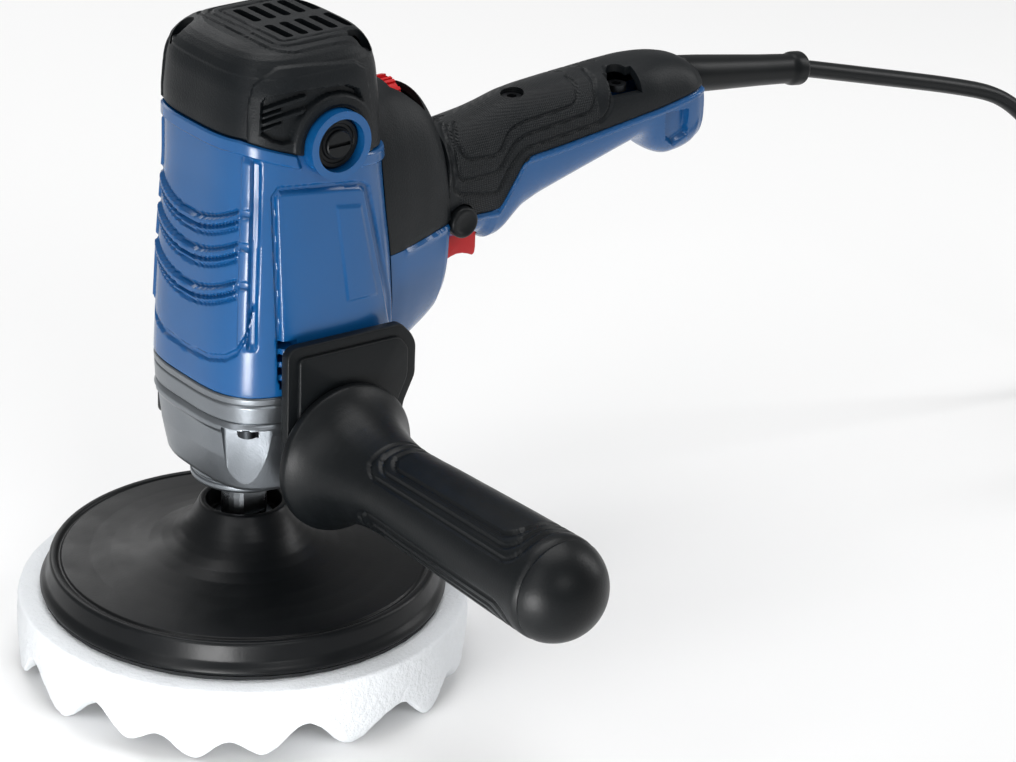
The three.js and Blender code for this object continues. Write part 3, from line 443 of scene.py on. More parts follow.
def grown(piece, tree, **values):
    """Runs a Geometry Nodes tree on the piece with these inputs, and settles the result."""
    growth = piece.modifiers.new(tree.name, "NODES")
    growth.node_group = tree
    for item in tree.interface.items_tree:
        label = item.name.replace(" ", "_").lower()
        if item.item_type == "SOCKET" and item.in_out == "INPUT" and label in values:
            growth[item.identifier] = values[label]
    return settled(piece)


def sums_in(tree):
    """Gives a function that adds a maths node to the tree, from numbers or sockets."""
    def sum_of(kind, a, b=None):
        node = tree.nodes.new("ShaderNodeMath")
        node.operation = kind
        for socket, value in zip(node.inputs, (a, b)):
            if isinstance(value, (int, float)):
                socket.default_value = value
            elif value is not None:
                tree.links.new(value, socket)
        return node.outputs[0]

    return sum_of


def waffle_tree():
    """Lifts the underside into rounded lobes, less and less towards the flat top, and roughens the cut skin."""
    tree, given, result = geometry_tree("waffle cut", [
        ("Pitch", "Float"), ("Depth", "Float"), ("Thickness", "Float"), ("Fuzz", "Float"), ("Seed", "Float"),
        ("Material", "Material")])
    new, link = tree.nodes.new, tree.links.new
    sum_of = sums_in(tree)
    place, parts = new("GeometryNodeInputPosition"), new("ShaderNodeSeparateXYZ")
    link(place.outputs[0], parts.inputs[0])
    wave = sum_of("DIVIDE", 2 * math.pi, given.outputs["Pitch"])
    across = sum_of("COSINE", sum_of("MULTIPLY", sum_of("ADD", parts.outputs["X"], 0.007), wave))
    along = sum_of("COSINE", sum_of("MULTIPLY", sum_of("ADD", parts.outputs["Y"], 0.004), wave))
    lobe = sum_of("MULTIPLY", sum_of("SUBTRACT", 1.0, sum_of("MULTIPLY", across, along)), 0.5)
    fade = sum_of("SUBTRACT", 1.0, sum_of("DIVIDE", parts.outputs["Z"], given.outputs["Thickness"]))
    lift = sum_of("MULTIPLY", sum_of("MULTIPLY", lobe, given.outputs["Depth"]), fade)
    rise = new("ShaderNodeCombineXYZ")
    link(lift, rise.inputs["Z"])
    cut = new("GeometryNodeSetPosition")
    link(given.outputs["Geometry"], cut.inputs["Geometry"])
    link(rise.outputs[0], cut.inputs["Offset"])
    noise, outward, push = new("ShaderNodeTexNoise"), new("GeometryNodeInputNormal"), new("ShaderNodeVectorMath")
    noise.noise_dimensions = "4D"
    noise.inputs["Scale"].default_value = 320
    noise.inputs["Detail"].default_value = 3
    link(given.outputs["Seed"], noise.inputs["W"])
    push.operation = "SCALE"
    fuzz = sum_of("MULTIPLY", sum_of("SUBTRACT", noise.outputs[0], 0.5), given.outputs["Fuzz"])
    link(outward.outputs[0], push.inputs[0])
    link(sum_of("MULTIPLY", fuzz, sum_of("GREATER_THAN", lift, 0.00005)), push.inputs["Scale"])
    rough = new("GeometryNodeSetPosition")
    link(cut.outputs["Geometry"], rough.inputs["Geometry"])
    link(push.outputs[0], rough.inputs["Offset"])
    closing_nodes(tree, result, rough.outputs["Geometry"])
    return tree


def foam_material():
    made = finish_of("foam", "e4e7ea", 0.95, grain=650, depth=0.9, cloud=0.10, scale=60, spread=0.0, specular=0.1)
    shader = made.node_tree.nodes["Principled BSDF"]
    shader.inputs["Subsurface Weight"].default_value = 0.25
    shader.inputs["Subsurface Radius"].default_value = (0.004, 0.004, 0.004)
    return made


def capped(profile):
    """The profile closed to the axis at both ends."""
    return [(0, profile[0][1]), *profile, (0, profile[-1][1])]


foam_white = foam_material()


def foam_piece():
    """A slightly barrelled disc with close rings below, where the lobes are cut."""
    profile = [(r, 0.0) for r in np.linspace(1.2, 83.4, 68)]
    profile += [(84.4, 0.8), (FOAM_RADIUS, 2.2)]
    profile += [(FOAM_RADIUS + 0.5 * math.sin(math.pi * t), z) for t, z in
                zip(np.linspace(0.05, 1, 22), np.linspace(3.4, FOAM_TOP - 1.2, 22))]
    profile += [(84.6, FOAM_TOP - 0.4), (83.9, FOAM_TOP)] + [(r, FOAM_TOP) for r in (78, 60, 30, 4)]
    blank = turned("foam_pad_cut", capped(profile), sides=540, sharp=80)
    return grown(blank, waffle_tree(), pitch=WAFFLE_PITCH * MM, depth=WAFFLE_DEPTH * MM,
                 thickness=FOAM_TOP * MM, fuzz=0.0009, seed=3.0, material=foam_white)


foam = finished(foam_piece(), foam_white, "spindle_group", "foam", "foam_pad")

# ---- Backing pad
# A flexible disc moulded in black rubber over a steel core. It rises in a smooth cone to the hub
# and has a thin lip and groove near its edge. The foam holds to a hook sheet glued below it.
PAD_PROFILE = [
    (11.2, 31.1), (76, 31.1), (77, 32.2), (76.2, 34), (74.6, 36), (73.2, 42), (72.4, 42.9), (70.6, 42.9),
    (70.1, 42.0), (69.1, 42.0), (68.6, 42.9), (58, 43.6), (50, 44.5), (43, 45.7), (36, 47.5), (31, 49.6),
    (27, 52), (24, 54.4), (21.5, 57), (19.7, 59.6), (18.4, 62), (17.2, 64.6), (16.6, 65.6), (14.4, 65.6),
    (14, 58), (11.2, 58),
]
pad_rubber = finish_of("pad_rubber", "0b0d0f", 0.36, grain=1100, depth=0.05, cloud=0.35, spread=0.22, specular=0.22)
finished(turned("backing_pad_moulding", softened(PAD_PROFILE, 0.7, 3), sides=256),
         pad_rubber, "spindle_group", "pad_rubber", "backing_pad")

# ---- Spindle nose and bearing collar
# The hardened steel spindle has two spanner flats, screws into the pad's core and is left as it was turned.
# The collar is a turned aluminium ring that closes the gear case round the lower bearing.
COLLAR_PROFILE = [
    (9.2, 76.4), (18.6, 76.4), (20.2, 77.6), (20.2, 79.4), (19.6, 79.8), (19.6, 80.3), (20.2, 80.7), (20.2, 82.3),
    (9.2, 82.3),
]
tool_steel = finish_of("tool_steel", "8b8f93", 0.28, 1.0, grain=800, depth=0.03, cloud=0.25)
cast_alloy = finish_of("cast_alloy", "7d8287", 0.34, 0.9, grain=1300, depth=0.10, cloud=0.25, spread=0.2)
finished(turned("bearing_collar_ring", softened(COLLAR_PROFILE, 0.5, 3), sides=160),
         cast_alloy, "body", "cast_aluminium", "bearing_collar")

# ---- Gear case
# A conical case die cast in aluminium and left in its blasted silver skin. Four socket screws sit
# in deep pockets at its corners and clamp it and the ring above it to the motor housing.
BODY_LEVELS = [
    (82.6, -20.6, 40, 30.6), (84.6, -22.4, 42, 32.2), (97, -25, 47, 34.2), (112.4, -26.7, 50.6, 36.4),
    (123.1, -27.1, 52, 37.1), (145, -26.2, 51.6, 36.7), (167, -25.2, 50.4, 35.8), (200, -22.8, 46.4, 34),
    (232, -22.4, 43.4, 34.2),
]
MOTOR_X = 14.0
GRIP_X, GRIP_Z = 12.0, 98.5
CORNERS = [(-17, -27.2), (-17, 27.2), (41, -27.2), (41, 27.2)]
GAP = 0.3


def unit_outline(power, count, stretch=1.0):
    """Points at even steps round a rounded rectangle of half size one."""
    t = np.linspace(0, 2 * math.pi, 6001)
    x = np.sign(np.cos(t)) * np.abs(np.cos(t)) ** (2 / power)
    y = np.sign(np.sin(t)) * np.abs(np.sin(t)) ** (2 / power)
    run = np.concatenate([[0], np.cumsum(np.hypot(np.diff(x), np.diff(y) * stretch))])
    at = np.linspace(0, run[-1], count, endpoint=False)
    return np.interp(at, run, x), np.interp(at, run, y)


def body_rings(levels, heights, count, power=3.4, relief=None, grow=0.0):
    """Rings of the rounded body at these heights (one row each), pushed out by relief(x, y, z, run)."""
    rows = np.array(levels, float)
    ux, uy = unit_outline(power, count)
    heights = np.asarray(heights, float)
    if heights.ndim == 1:
        heights = np.repeat(heights[:, None], count, 1)
    front, back, half = (np.interp(heights, rows[:, 0], rows[:, k]) for k in (1, 2, 3))
    x = (front + back) / 2 + (back - front + 2 * grow) / 2 * ux
    y = (half + grow) * uy
    tx, ty = np.roll(x, -1, 1) - np.roll(x, 1, 1), np.roll(y, -1, 1) - np.roll(y, 1, 1)
    length = np.hypot(tx, ty) + 1e-9
    if relief is not None:
        push = relief(x, y, heights)
        x, y = x + push * ty / length, y - push * tx / length
    return np.stack([x, y, heights], 2)


def smooth_levels(levels, step=2.0, reach=3):
    """The same body levels at closer steps, with their corners rounded off."""
    rows = np.array(levels, float)
    z = np.arange(rows[0, 0], rows[-1, 0] + 0.01, step)
    spans = [np.mean([np.interp(z + s, rows[:, 0], rows[:, k]) for s in np.linspace(-reach, reach, 7)], 0)
             for k in (1, 2, 3)]
    return np.stack([z, *spans], 1)


def carved(piece, *tools, mode="DIFFERENCE"):
    """Cuts each tool out of the piece, or joins or keeps the common part, and throws the tools away."""
    for tool in tools:
        stroke = piece.modifiers.new("cut", "BOOLEAN")
        stroke.solver = "MANIFOLD"
        stroke.operation = mode
        stroke.object = tool
    settled(piece)
    for tool in tools:
        bpy.data.objects.remove(tool)
    return piece


def dressed(piece, sharp=30):
    """Smooth shading with sharp real edges, after the last cut."""
    piece.data.shade_smooth()
    piece.data.set_sharp_from_angle(angle=math.radians(sharp))
    return piece


def rod(way, radius, start, end, u=0.0, v=0.0, sides=64):
    """A round bar along an axis: u and v are its place on the two other axes, in order."""
    origin = {"X": (start, u, v), "Y": (u, start, v), "Z": (u, v, start)}[way]
    direction = {"X": (1, 0, 0), "Y": (0, 1, 0), "Z": (0, 0, 1)}[way]
    return turned("rod", [(0, 0), (radius, 0), (radius, end - start), (0, end - start)], origin, direction, sides)


def block(x0, x1, y0, y1, z0, z1):
    """A square-cornered bar between these limits."""
    ring = [[(x0, y0, z), (x1, y0, z), (x1, y1, z), (x0, y1, z)] for z in (z0, z1)]
    return skinned("block", ring)


def prism(name, outline, y0, y1):
    """An outline of (x, z) points pushed through from y0 to y1."""
    return skinned(name, [[(x, y, z) for x, z in outline] for y in (y0, y1)])


def corner_pocket(x, y):
    """The room round one screw, which opens outwards and narrows a little towards the foot."""
    turn = math.atan2(y, x - MOTOR_X - 1) + math.copysign(0.02, x * y)
    out, side = np.array([math.cos(turn), math.sin(turn)]), np.array([-math.sin(turn), math.cos(turn)])
    rings = []
    for z, half in ((78, 7.4), (109.2, 9.5), (109.9, 9.3)):
        outline = softened([(-0.6, -half), (20, -half), (20, half), (-0.6, half)], 1.6, 5, closed=True)
        rings.append([(*(np.array([x, y]) + out * a + side * b), z) for a, b in outline])
    return skinned("pocket", rings)


def gear_case():
    """The casting with its two grip sockets, hollow for the gears, and pocketed for the screws."""
    heights = np.concatenate([[82.6, 82.9, 83.4, 84.0, 84.6], np.linspace(85, 111.2, 60), [111.7, 112.0, 112.1]])
    levels = [(82.6, -20.6, 40, 30.6), (83.4, -21.8, 41.3, 31.6), *BODY_LEVELS[1:4]]

    def relief(x, y, z):
        rim = -0.5 * eased((z - 111.5) / 0.6) - 0.4 * eased((83.3 - z) / 0.7)
        return rim + 0.7 * np.exp(-(((z - 109.3) / 1.6) ** 4))

    case = skinned("gear_case_casting", body_rings(levels, heights, 420, relief=relief))
    carved(case, rod("Y", 13, -38.6, 38.6, GRIP_X, GRIP_Z, 96), mode="UNION")
    chamber = skinned("chamber", body_rings(
        [(93, -18.5, 35, 27), (103, -20, 40, 30.6), (116.4, -21, 44, 32.4)], [93, 103, 116.4], 96, 2.6))
    tools = [chamber, rod("Z", 15.3, 60, 89.9), rod("Z", 8, 60, 100)]
    tools += [rod("Y", 4.3, *span, GRIP_X, GRIP_Z) for span in ((-45, -26), (26, 45))]
    tools += [corner_pocket(x, y) for x, y in CORNERS]
    tools += [rod("Z", 4.1, 105.8, 110.3, x, y, 40) for x, y in CORNERS]
    return dressed(carved(case, *tools), 28)


finished(gear_case(), cast_alloy, "body", "cast_aluminium", "gearbox_housing")


def gear_ring():
    """A low ring with a fine turned line, bridged inside to hold the motor's lower bearing."""
    heights = np.concatenate([[112.4, 112.6, 113.0], np.linspace(113.4, 121.8, 24), [122.3, 122.6, 122.8]])

    def relief(x, y, z):
        return (-0.4 * eased((113.0 - z) / 0.6) - 0.5 * eased((z - 122.2) / 0.6)
                - 0.5 * np.exp(-(((z - 119.6) / 0.35) ** 2)))

    ring = skinned("gear_ring_casting", body_rings(BODY_LEVELS, heights, 420, relief=relief))
    carved(ring, rod("Z", 33.6, 118, 130, MOTOR_X, 0, 96))
    carved(ring, rod("Z", 12.6, 117.8, 122.7, MOTOR_X, 0, 64), mode="UNION")
    return dressed(carved(ring, rod("Z", 9.8, 119.2, 132, MOTOR_X, 0), rod("Z", 4.6, 105, 132, MOTOR_X, 0)), 28)


finished(gear_ring(), cast_alloy, "body", "cast_aluminium", "gearbox_ring")

# ---- Socket screws
# Hardened steel cap screws with a hexagon socket. They hold the gear case, the top cover and the
# two handle shells, each sunk in its own recess.
SCREW_SEATS = {
    "gear_case_screws": ([(x, y, 106.6) for x, y in CORNERS], 3.5, 3.2, 8,
                         ["gearbox_screw_" + w for w in ("front_right", "front_left", "rear_right", "rear_left")]),
    "cover_screws": ([(-13.5, 21, 241.5), (32, -24, 241.5)], 3.5, 2.9, 8,
                     ["cover_screw_front_left", "cover_screw_rear_right"]),
    "handle_screws": ([(120, -2, 200.4), (166.5, -8, 198.4)], 3.9, 2.6, 8,
                      ["handle_screw_front", "handle_screw_rear"]),
}


def screw_tree():
    """Sets one cap screw with a six-sided socket on every point of the mesh."""
    tree, given, result = geometry_tree("socket screw", [
        ("Head Radius", "Float"), ("Head Height", "Float"), ("Shank", "Float"), ("Material", "Material")])
    new, link = tree.nodes.new, tree.links.new

    def cylinder(sides, scale_radius, depth_socket, lift):
        can, half, across, move = (new("GeometryNodeMeshCylinder"), new("ShaderNodeMath"), new("ShaderNodeMath"),
                                   new("GeometryNodeTransform"))
        can.inputs["Vertices"].default_value = sides
        half.operation = across.operation = "MULTIPLY"
        half.inputs[1].default_value = lift
        across.inputs[1].default_value = scale_radius
        link(given.outputs["Head Radius"], across.inputs[0])
        link(across.outputs[0], can.inputs["Radius"])
        link(given.outputs[depth_socket], can.inputs["Depth"])
        link(given.outputs[depth_socket], half.inputs[0])
        up = new("ShaderNodeCombineXYZ")
        link(half.outputs[0], up.inputs["Z"])
        link(can.outputs["Mesh"], move.inputs["Geometry"])
        link(up.outputs[0], move.inputs["Translation"])
        return move.outputs["Geometry"]

    head = cylinder(40, 1.0, "Head Height", 0.5)
    socket = cylinder(6, 0.55, "Head Height", 0.9)
    shank = cylinder(20, 0.52, "Shank", -0.49)
    cut = new("GeometryNodeMeshBoolean")
    cut.operation = "DIFFERENCE"
    link(head, cut.inputs[0])
    link(socket, cut.inputs[1])
    fused = new("GeometryNodeMeshBoolean")
    fused.operation = "UNION"
    link(cut.outputs["Mesh"], fused.inputs[1])
    link(shank, fused.inputs[1])
    seats, scatter = new("GeometryNodeMeshToPoints"), new("GeometryNodeInstanceOnPoints")
    link(given.outputs["Geometry"], seats.inputs["Mesh"])
    link(seats.outputs["Points"], scatter.inputs["Points"])
    link(fused.outputs["Mesh"], scatter.inputs["Instance"])
    closing_nodes(tree, result, scatter.outputs["Instances"])
    return tree


screw_steel = finish_of("screw_steel", "3c3f42", 0.4, 1.0, grain=900, depth=0.02)
dark_screw = finish_of("dark_screw", "2a2c2f", 0.35, 0.8, grain=900, depth=0.02)
set_of_screws = screw_tree()
for word, (seats, head, tall, shank, replaced) in SCREW_SEATS.items():
    points = bpy.data.meshes.new(word)
    points.from_pydata([tuple(c * MM for c in seat) for seat in seats], [], [])
    screws = bpy.data.objects.new(word, points)
    scene.collection.objects.link(screws)
    steel = screw_steel if word == "gear_case_screws" else dark_screw
    grown(screws, set_of_screws, head_radius=head * MM, head_height=tall * MM, shank=shank * MM, material=steel)
    finished(dressed(screws), steel, "body", "steel", *replaced)

# ---- Motor housing
# A glossy blue glass-filled nylon moulding that carries the stator. Its front has a raised panel with
# three pairs of curved finger ribs, and each side a framed panel, a brush ring and a ladder of vents.
SEAM = [(-60, 221), (-19, 221), (5, 212.5), (34, 208.5), (60, 206), (90, 203)]
BRUSH_Z, RING_RADIUS, RING_FACE = 216.6, 12.8, 39.7
RIB_HEIGHTS = (185.3, 173.0, 158.5)
SIDE_PANEL = [(-14.6, 203), (-12.4, 205.3), (24, 199.9), (26.2, 198), (37.1, 151), (39.7, 138.7), (-6, 142),
              (-10.4, 131)]
LABEL_PANEL = [(12.1, 194.3), (23.8, 192.4), (32.2, 154.8), (18.1, 154.8)]
# Marks on a side are drawn where it is widest, and lean with it by this much for each millimetre inwards.
LEAN_BACK, LEAN_DOWN = 0.80, 0.587
VENT_LADDER = [126 + 5.2 * i for i in range(4)]


def band(distance, half, soft):
    """One within half of zero, easing to nothing over soft."""
    return eased((half + soft - np.abs(distance)) / soft)


def edge_distance(outline, x, z):
    """Distance to the outline, negative inside it."""
    best = np.full(x.shape, 1e9)
    inside = np.zeros(x.shape, bool)
    for (ax, az), (bx, bz) in zip(outline, outline[1:] + outline[:1]):
        dx, dz = bx - ax, bz - az
        t = np.clip(((x - ax) * dx + (z - az) * dz) / (dx * dx + dz * dz), 0, 1)
        best = np.minimum(best, np.hypot(x - ax - t * dx, z - az - t * dz))
        if abs(dz) > 1e-9:
            crossing = (az > z) != (bz > z)
            inside ^= crossing & (x < ax + dx * (z - az) / dz)
    return np.where(inside, -best, best)


def seam_height(x, drop=0.0):
    """Where the housing meets the cover above it."""
    return np.interp(x, [p[0] for p in SEAM], [p[1] for p in SEAM]) - drop


def housing_relief(x, y, z):
    """How far the skin stands out: lip, finger ribs, strip, framed panel and the room round the brush ring."""
    seam = seam_height(x, GAP)
    push = 1.3 * eased((z - seam + 5.4) / 0.8) - 0.7 * eased((z - seam + 0.7) / 0.7)
    push -= 0.5 * eased((123.8 - z) / 0.6)
    front = eased((4 - x) / 3)
    across = np.abs(y)
    strip = 0.768 * np.interp(z, [row[0] for row in BODY_LEVELS], [row[3] for row in BODY_LEVELS])
    fade = eased((strip - 1.4 - across) / 1.0) * front
    for height in RIB_HEIGHTS:
        arc = height + 5.5 * (across / 22) ** 2
        for offset, size, half in ((0, 1.2, 0.9), (-3.3, 0.7, 0.45)):
            push += size * band(z - arc - offset, half, 0.7) * fade
        for offset in (2.1, -1.8, -4.6):
            push -= 0.8 * band(z - arc - offset, 0.35, 0.55) * fade
    foot = np.interp(across, [0, 15, 23, 27, 29.4, 30.5], [134.5, 135.4, 137.6, 140.6, 147, 158])
    push -= 1.2 * band(z - foot, 0.7, 1.0) * front * eased((strip + 3.2 - across) / 0.8)
    corner = front * eased((z - 141) / 3) * eased((seam - 5.8 - z) / 1.5)
    ribless = 1 - sum(band(z - h - 8.2, 0.9, 0.9) for h in RIB_HEIGHTS)
    push += 1.0 * band(across - strip - 0.3, 1.0, 0.8) * corner * ribless
    push -= 1.4 * band(across - strip - 2.7, 0.5, 0.9) * corner
    side = eased((across - 29.5) / 1.5)
    u, w = x - LEAN_BACK * (38 - across), z + LEAN_DOWN * (38 - across)
    frame_line = edge_distance(SIDE_PANEL, u, w)
    push -= 1.2 * band(frame_line, 0.5, 1.0) * side
    push += 0.4 * eased((-frame_line - 1.2) / 1.0) * side
    label = edge_distance(LABEL_PANEL, u, w)
    push += 0.5 * eased(-label / 1.2) * side
    clear = eased((np.hypot(x - MOTOR_X, z - BRUSH_Z) - RING_RADIUS - 2.2) / 1.2)
    return push * np.where(z > 195, clear, 1)


def motor_housing():
    """A tall shell up to the sloping seam, with its brush rings, hollow, and vents cut in the sides."""
    levels = smooth_levels(BODY_LEVELS[3:])
    count = 560
    rows = np.linspace(0, 1, 156)
    top = seam_height(body_rings(levels, [214.0], count)[0, :, 0], GAP)
    heights = 123.1 + rows[:, None] * (top[None, :] - 123.1)
    shell = skinned("motor_housing_moulding", body_rings(levels, heights, count, relief=housing_relief))
    rings = [rod("Y", RING_RADIUS, *span, MOTOR_X, BRUSH_Z, 96) for span in ((-RING_FACE, -28), (28, RING_FACE))]
    carved(shell, *rings, mode="UNION")
    tools = [rod("Z", 34, 120, 148.4, MOTOR_X, 0, 96), rod("Z", 31.4, 148, 199, MOTOR_X, 0, 96),
             rod("Z", 29.6, 198, 250, MOTOR_X, 0, 96), rod("X", 13, 44, 60, 0, 196, 48)]
    for side in (-1, 1):
        reach = sorted((side * 33.1, side * 50))
        tools.append(rod("Y", 9.9, *reach, MOTOR_X, BRUSH_Z, 72))
        tools.append(block(MOTOR_X - 4.9, MOTOR_X + 4.9, *sorted((side * 25, side * 40)), BRUSH_Z - 5.9,
                           BRUSH_Z + 5.9))
        tools += [block(-9, -2.4, *sorted((side * 24, side * 50)), z, z + 3.1) for z in VENT_LADDER]
    return dressed(carved(shell, *tools), 34)


housing_blue = finish_of("housing_blue", "0d4f86", 0.22, grain=420, depth=0.015, cloud=0.12, spread=0.10)
finished(motor_housing(), housing_blue, "body", "blue_plastic", "motor_housing")

# ---- Brush caps
# Round black nylon screw caps, one on each side, that hold the carbon brushes in their holders.
# Each has a stepped rim and a slot for a coin or a screwdriver.
CAP_PROFILE = [(0, 33.4), (9.4, 33.4), (9.4, 36.0), (8.8, 36.6), (7.6, 36.6), (7.2, 36.1), (6.2, 36.1), (5.8, 36.6),
               (5.2, 36.8), (5.2, 38.0), (4.8, 38.4), (0, 38.4)]
black_nylon = finish_of("black_nylon", "0d1012", 0.42, grain=1800, depth=0.09, cloud=0.3, spread=0.15, specular=0.22)
for side, word in ((-1, "right"), (1, "left")):
    cap = turned("brush_cap_screw_" + word, CAP_PROFILE, (MOTOR_X, 0, BRUSH_Z), (0, side, 0), 96)
    slit = block(MOTOR_X - 4.7, MOTOR_X + 4.7, *sorted((side * 37.2, side * 45)), BRUSH_Z - 0.75, BRUSH_Z + 0.75)
    finished(dressed(carved(cap, slit)), black_nylon, "body", "black_plastic", "brush_cap_" + word)

# ---- Top cover
# A black nylon cap with a fine sand texture, screwed down at two opposite corners. Two rows of slots on
# top and a ribbed window on each side let the cooling air in.
COVER_LEVELS = [
    (200, -22.8, 46.4, 34), (226, -22.7, 44, 34.6), (239, -21.3, 42.4, 34), (246.6, -18.8, 40.4, 32.2),
    (250.4, -15.4, 37.6, 28.4), (252, -10.4, 33.6, 22.6),
]
COVER_SCREWS = [(-13.5, 21), (32, -24)]
VENT_COUNT, VENT_X, VENT_STEP, VENT_HALF = 5, 7.0, 6.4, 1.8
SHIELD = [(-24.6, 205), (-23.8, 239), (-21.5, 246), (-11, 250.3), (22, 246.2), (27, 243), (30.6, 225), (31, 200)]
WINDOW = [(-18, 226.2), (-18, 238), (-16, 240.2), (19, 237.6), (24, 235), (27, 227), (27, 220), (-10, 220)]


def cover_relief(x, y, z):
    """How far the skin stands out: foot, raised shield, ribbed window and the arch over the brush ring."""
    seam = seam_height(x)
    push = -0.6 * eased((seam + 0.8 - z) / 0.8)
    inward = 34.6 - np.abs(y)
    u, w = x - LEAN_BACK * inward, z + LEAN_DOWN * inward
    side = eased((np.abs(y) - 12) / 3)
    shield = edge_distance(SHIELD, u, w)
    push += 1.1 * eased(-shield / 0.9) * side
    arch = np.hypot(x - MOTOR_X, z - BRUSH_Z)
    opening = np.maximum(edge_distance(WINDOW, u, w), np.maximum(17.6 - arch, seam + 2.6 - z))
    push -= 2.6 * eased(-opening / 0.9) * side
    push += 0.7 * band(arch - 15.6, 1.2, 0.8) * eased((np.abs(y) - 25) / 2)
    ribs = sum(band(w - h - 0.06 * u, 0.6, 0.6) for h in (230.6, 235.6)) * band(u + 8, 9.5, 1)
    ribs = ribs + sum(band(w - h - 0.06 * u, 0.4, 0.5) for h in (228.4, 233.2)) * band(u + 13, 4, 1)
    push += 2.0 * ribs * eased((-opening - 0.4) / 0.8) * side
    return push


def cover_top_rings(count):
    """The crown: the last level shrinks to the middle."""
    rim = body_rings(COVER_LEVELS, [252.0], count)[0]
    centre = np.array([11.6, 0, 252.0])
    return [centre + (rim - centre) * s for s in np.linspace(0.98, 0.04, 46)]


def groove_crown(rings):
    """Sinks nested grooves into the crown round the field of slots."""
    x, y, z = rings[..., 0], rings[..., 1], rings[..., 2]
    dx, dy = np.abs(x - 19.8) - 16.2, np.abs(y) - 18.2
    reach = np.where((dx > 0) & (dy > 0), np.hypot(dx, dy), np.maximum(dx, dy))
    high = eased((z - 240) / 3)
    for at in (1.8, 5.8, 9.8):
        z = z - 0.8 * band(reach - at, 0.35, 0.5) * high * eased((34 - x) / 2)
    rings[..., 2] = z
    return rings


def top_cover():
    """A shell from the seam to the crown, with its bearing and screw bosses inside and its slots on top."""
    count = 420
    rows = np.linspace(0, 1, 70)
    foot = seam_height(body_rings(COVER_LEVELS, [224.0], count)[0, :, 0])
    lower = foot[None, :] + rows[:, None] * (239 - foot[None, :])
    upper = np.repeat((239 + 13 * (1 - (1 - np.linspace(0, 1, 54)[1:]) ** 1.7))[:, None], count, 1)
    levels = smooth_levels(COVER_LEVELS[:4], 1.0, 2).tolist()
    levels = [r for r in levels if r[0] < 244] + [
        (244, -19.9, 41.2, 33.0), (246.6, -18.6, 40.2, 31.8), (248.8, -16.8, 38.9, 30.1), (250.4, -15.0, 37.4, 28.0),
        (251.4, -12.8, 35.6, 25.4), (252, -10.4, 33.6, 22.6)]
    side = body_rings(levels, np.vstack([lower, upper]), count, relief=cover_relief)
    rings = groove_crown(np.concatenate([side, np.array(cover_top_rings(count))]))
    cover = skinned("top_cover_moulding", rings)
    inner_levels = [(z, front + 3, back - 3, half - 3) for z, front, back, half in COVER_LEVELS[:5]]
    carved(cover, skinned("hollow", body_rings(inner_levels, [200, 226, 239, 246.6, 248.4], 96)))
    carved(cover, rod("Z", 12.4, 229, 247, MOTOR_X, 0), *[rod("Z", 4, 226, 247, x, y, 32) for x, y in COVER_SCREWS],
           mode="UNION")
    tools = [rod("Y", 13.2, *sorted((side * 20, side * 60)), MOTOR_X, BRUSH_Z, 96) for side in (-1, 1)]
    for i in range(VENT_COUNT):
        middle = VENT_X + VENT_STEP * i
        for side in (-1, 1):
            near, far = sorted((side * 2.5, side * 17.5))
            ends = softened([(middle - VENT_HALF, near), (middle + VENT_HALF, near), (middle + VENT_HALF, far),
                             (middle - VENT_HALF, far)], 1.7, 5, closed=True)
            tools.append(skinned("slot", [[(x, y, z) for x, y in ends] for z in (246.9, 262)]))
    tools += [rod("Z", 4.4, 241.2, 270, x, y, 48) for x, y in COVER_SCREWS]
    tools += [rod("Z", 2.1, 200, 245, x, y, 24) for x, y in COVER_SCREWS]
    tools += [rod("Z", 9.8, 220, 236.4, MOTOR_X, 0), rod("Z", 4.6, 220, 240, MOTOR_X, 0)]
    return dressed(carved(cover, *tools), 34)


sand_black = finish_of("sand_black", "0f1316", 0.45, grain=1500, depth=0.22, cloud=0.3, spread=0.15, specular=0.22)
finished(top_cover(), sand_black, "body", "black_plastic", "top_cover")

# ---- Rear handle shells
# Two nylon mouldings screwed together along a curved parting line: a black one with a sand texture on
# top and a blue one below. They clamp the switch, the speed control and the strain relief.
HANDLE_SLICES = [
    (38, 118, 223, 29), (46, 116, 223, 28), (54, 113, 223, 26.5), (62, 115, 221.5, 24.5), (68, 118.8, 219, 23),
    (73, 121.5, 214.6, 21.5), (77, 124.5, 206.5, 20), (79, 128, 200.5, 19), (79.6, 153.6, 200.2, 18.6),
    (86, 153.4, 198.2, 18), (101.9, 152.6, 200.4, 17.4), (103, 149, 200.8, 17), (110, 149.6, 202.4, 16.5),
    (119, 158, 204.4, 16.5), (128, 161.8, 205.4, 16.5), (142, 165.8, 206.2, 16.5), (166, 172.6, 207.2, 16.5),
    (177, 175.6, 207.4, 16.5), (181, 174.2, 207.4, 16.5), (187, 168, 207.2, 16.3), (193, 165.2, 206.4, 16),
    (200, 165.8, 204.6, 15.5), (205, 167, 202.4, 14.5), (208, 169.2, 199.6, 12.5),
]
PARTING = [
    (30, 163.2), (52, 163.6), (75.5, 165.9), (94.7, 165), (105, 164.3), (112, 175), (117.3, 183.2), (133, 184.4),
    (153, 186.5), (178, 189.3), (199, 192), (230, 196),
]
LOCK_X, LOCK_Z, LOCK_RADIUS = 85.4, 164.8, 6.4
DIAL_Z, DIAL_RADIUS, DIAL_FRONT, DIAL_BACK, DIAL_SLOT_BACK = 210, 12.0, 58, 63, 70
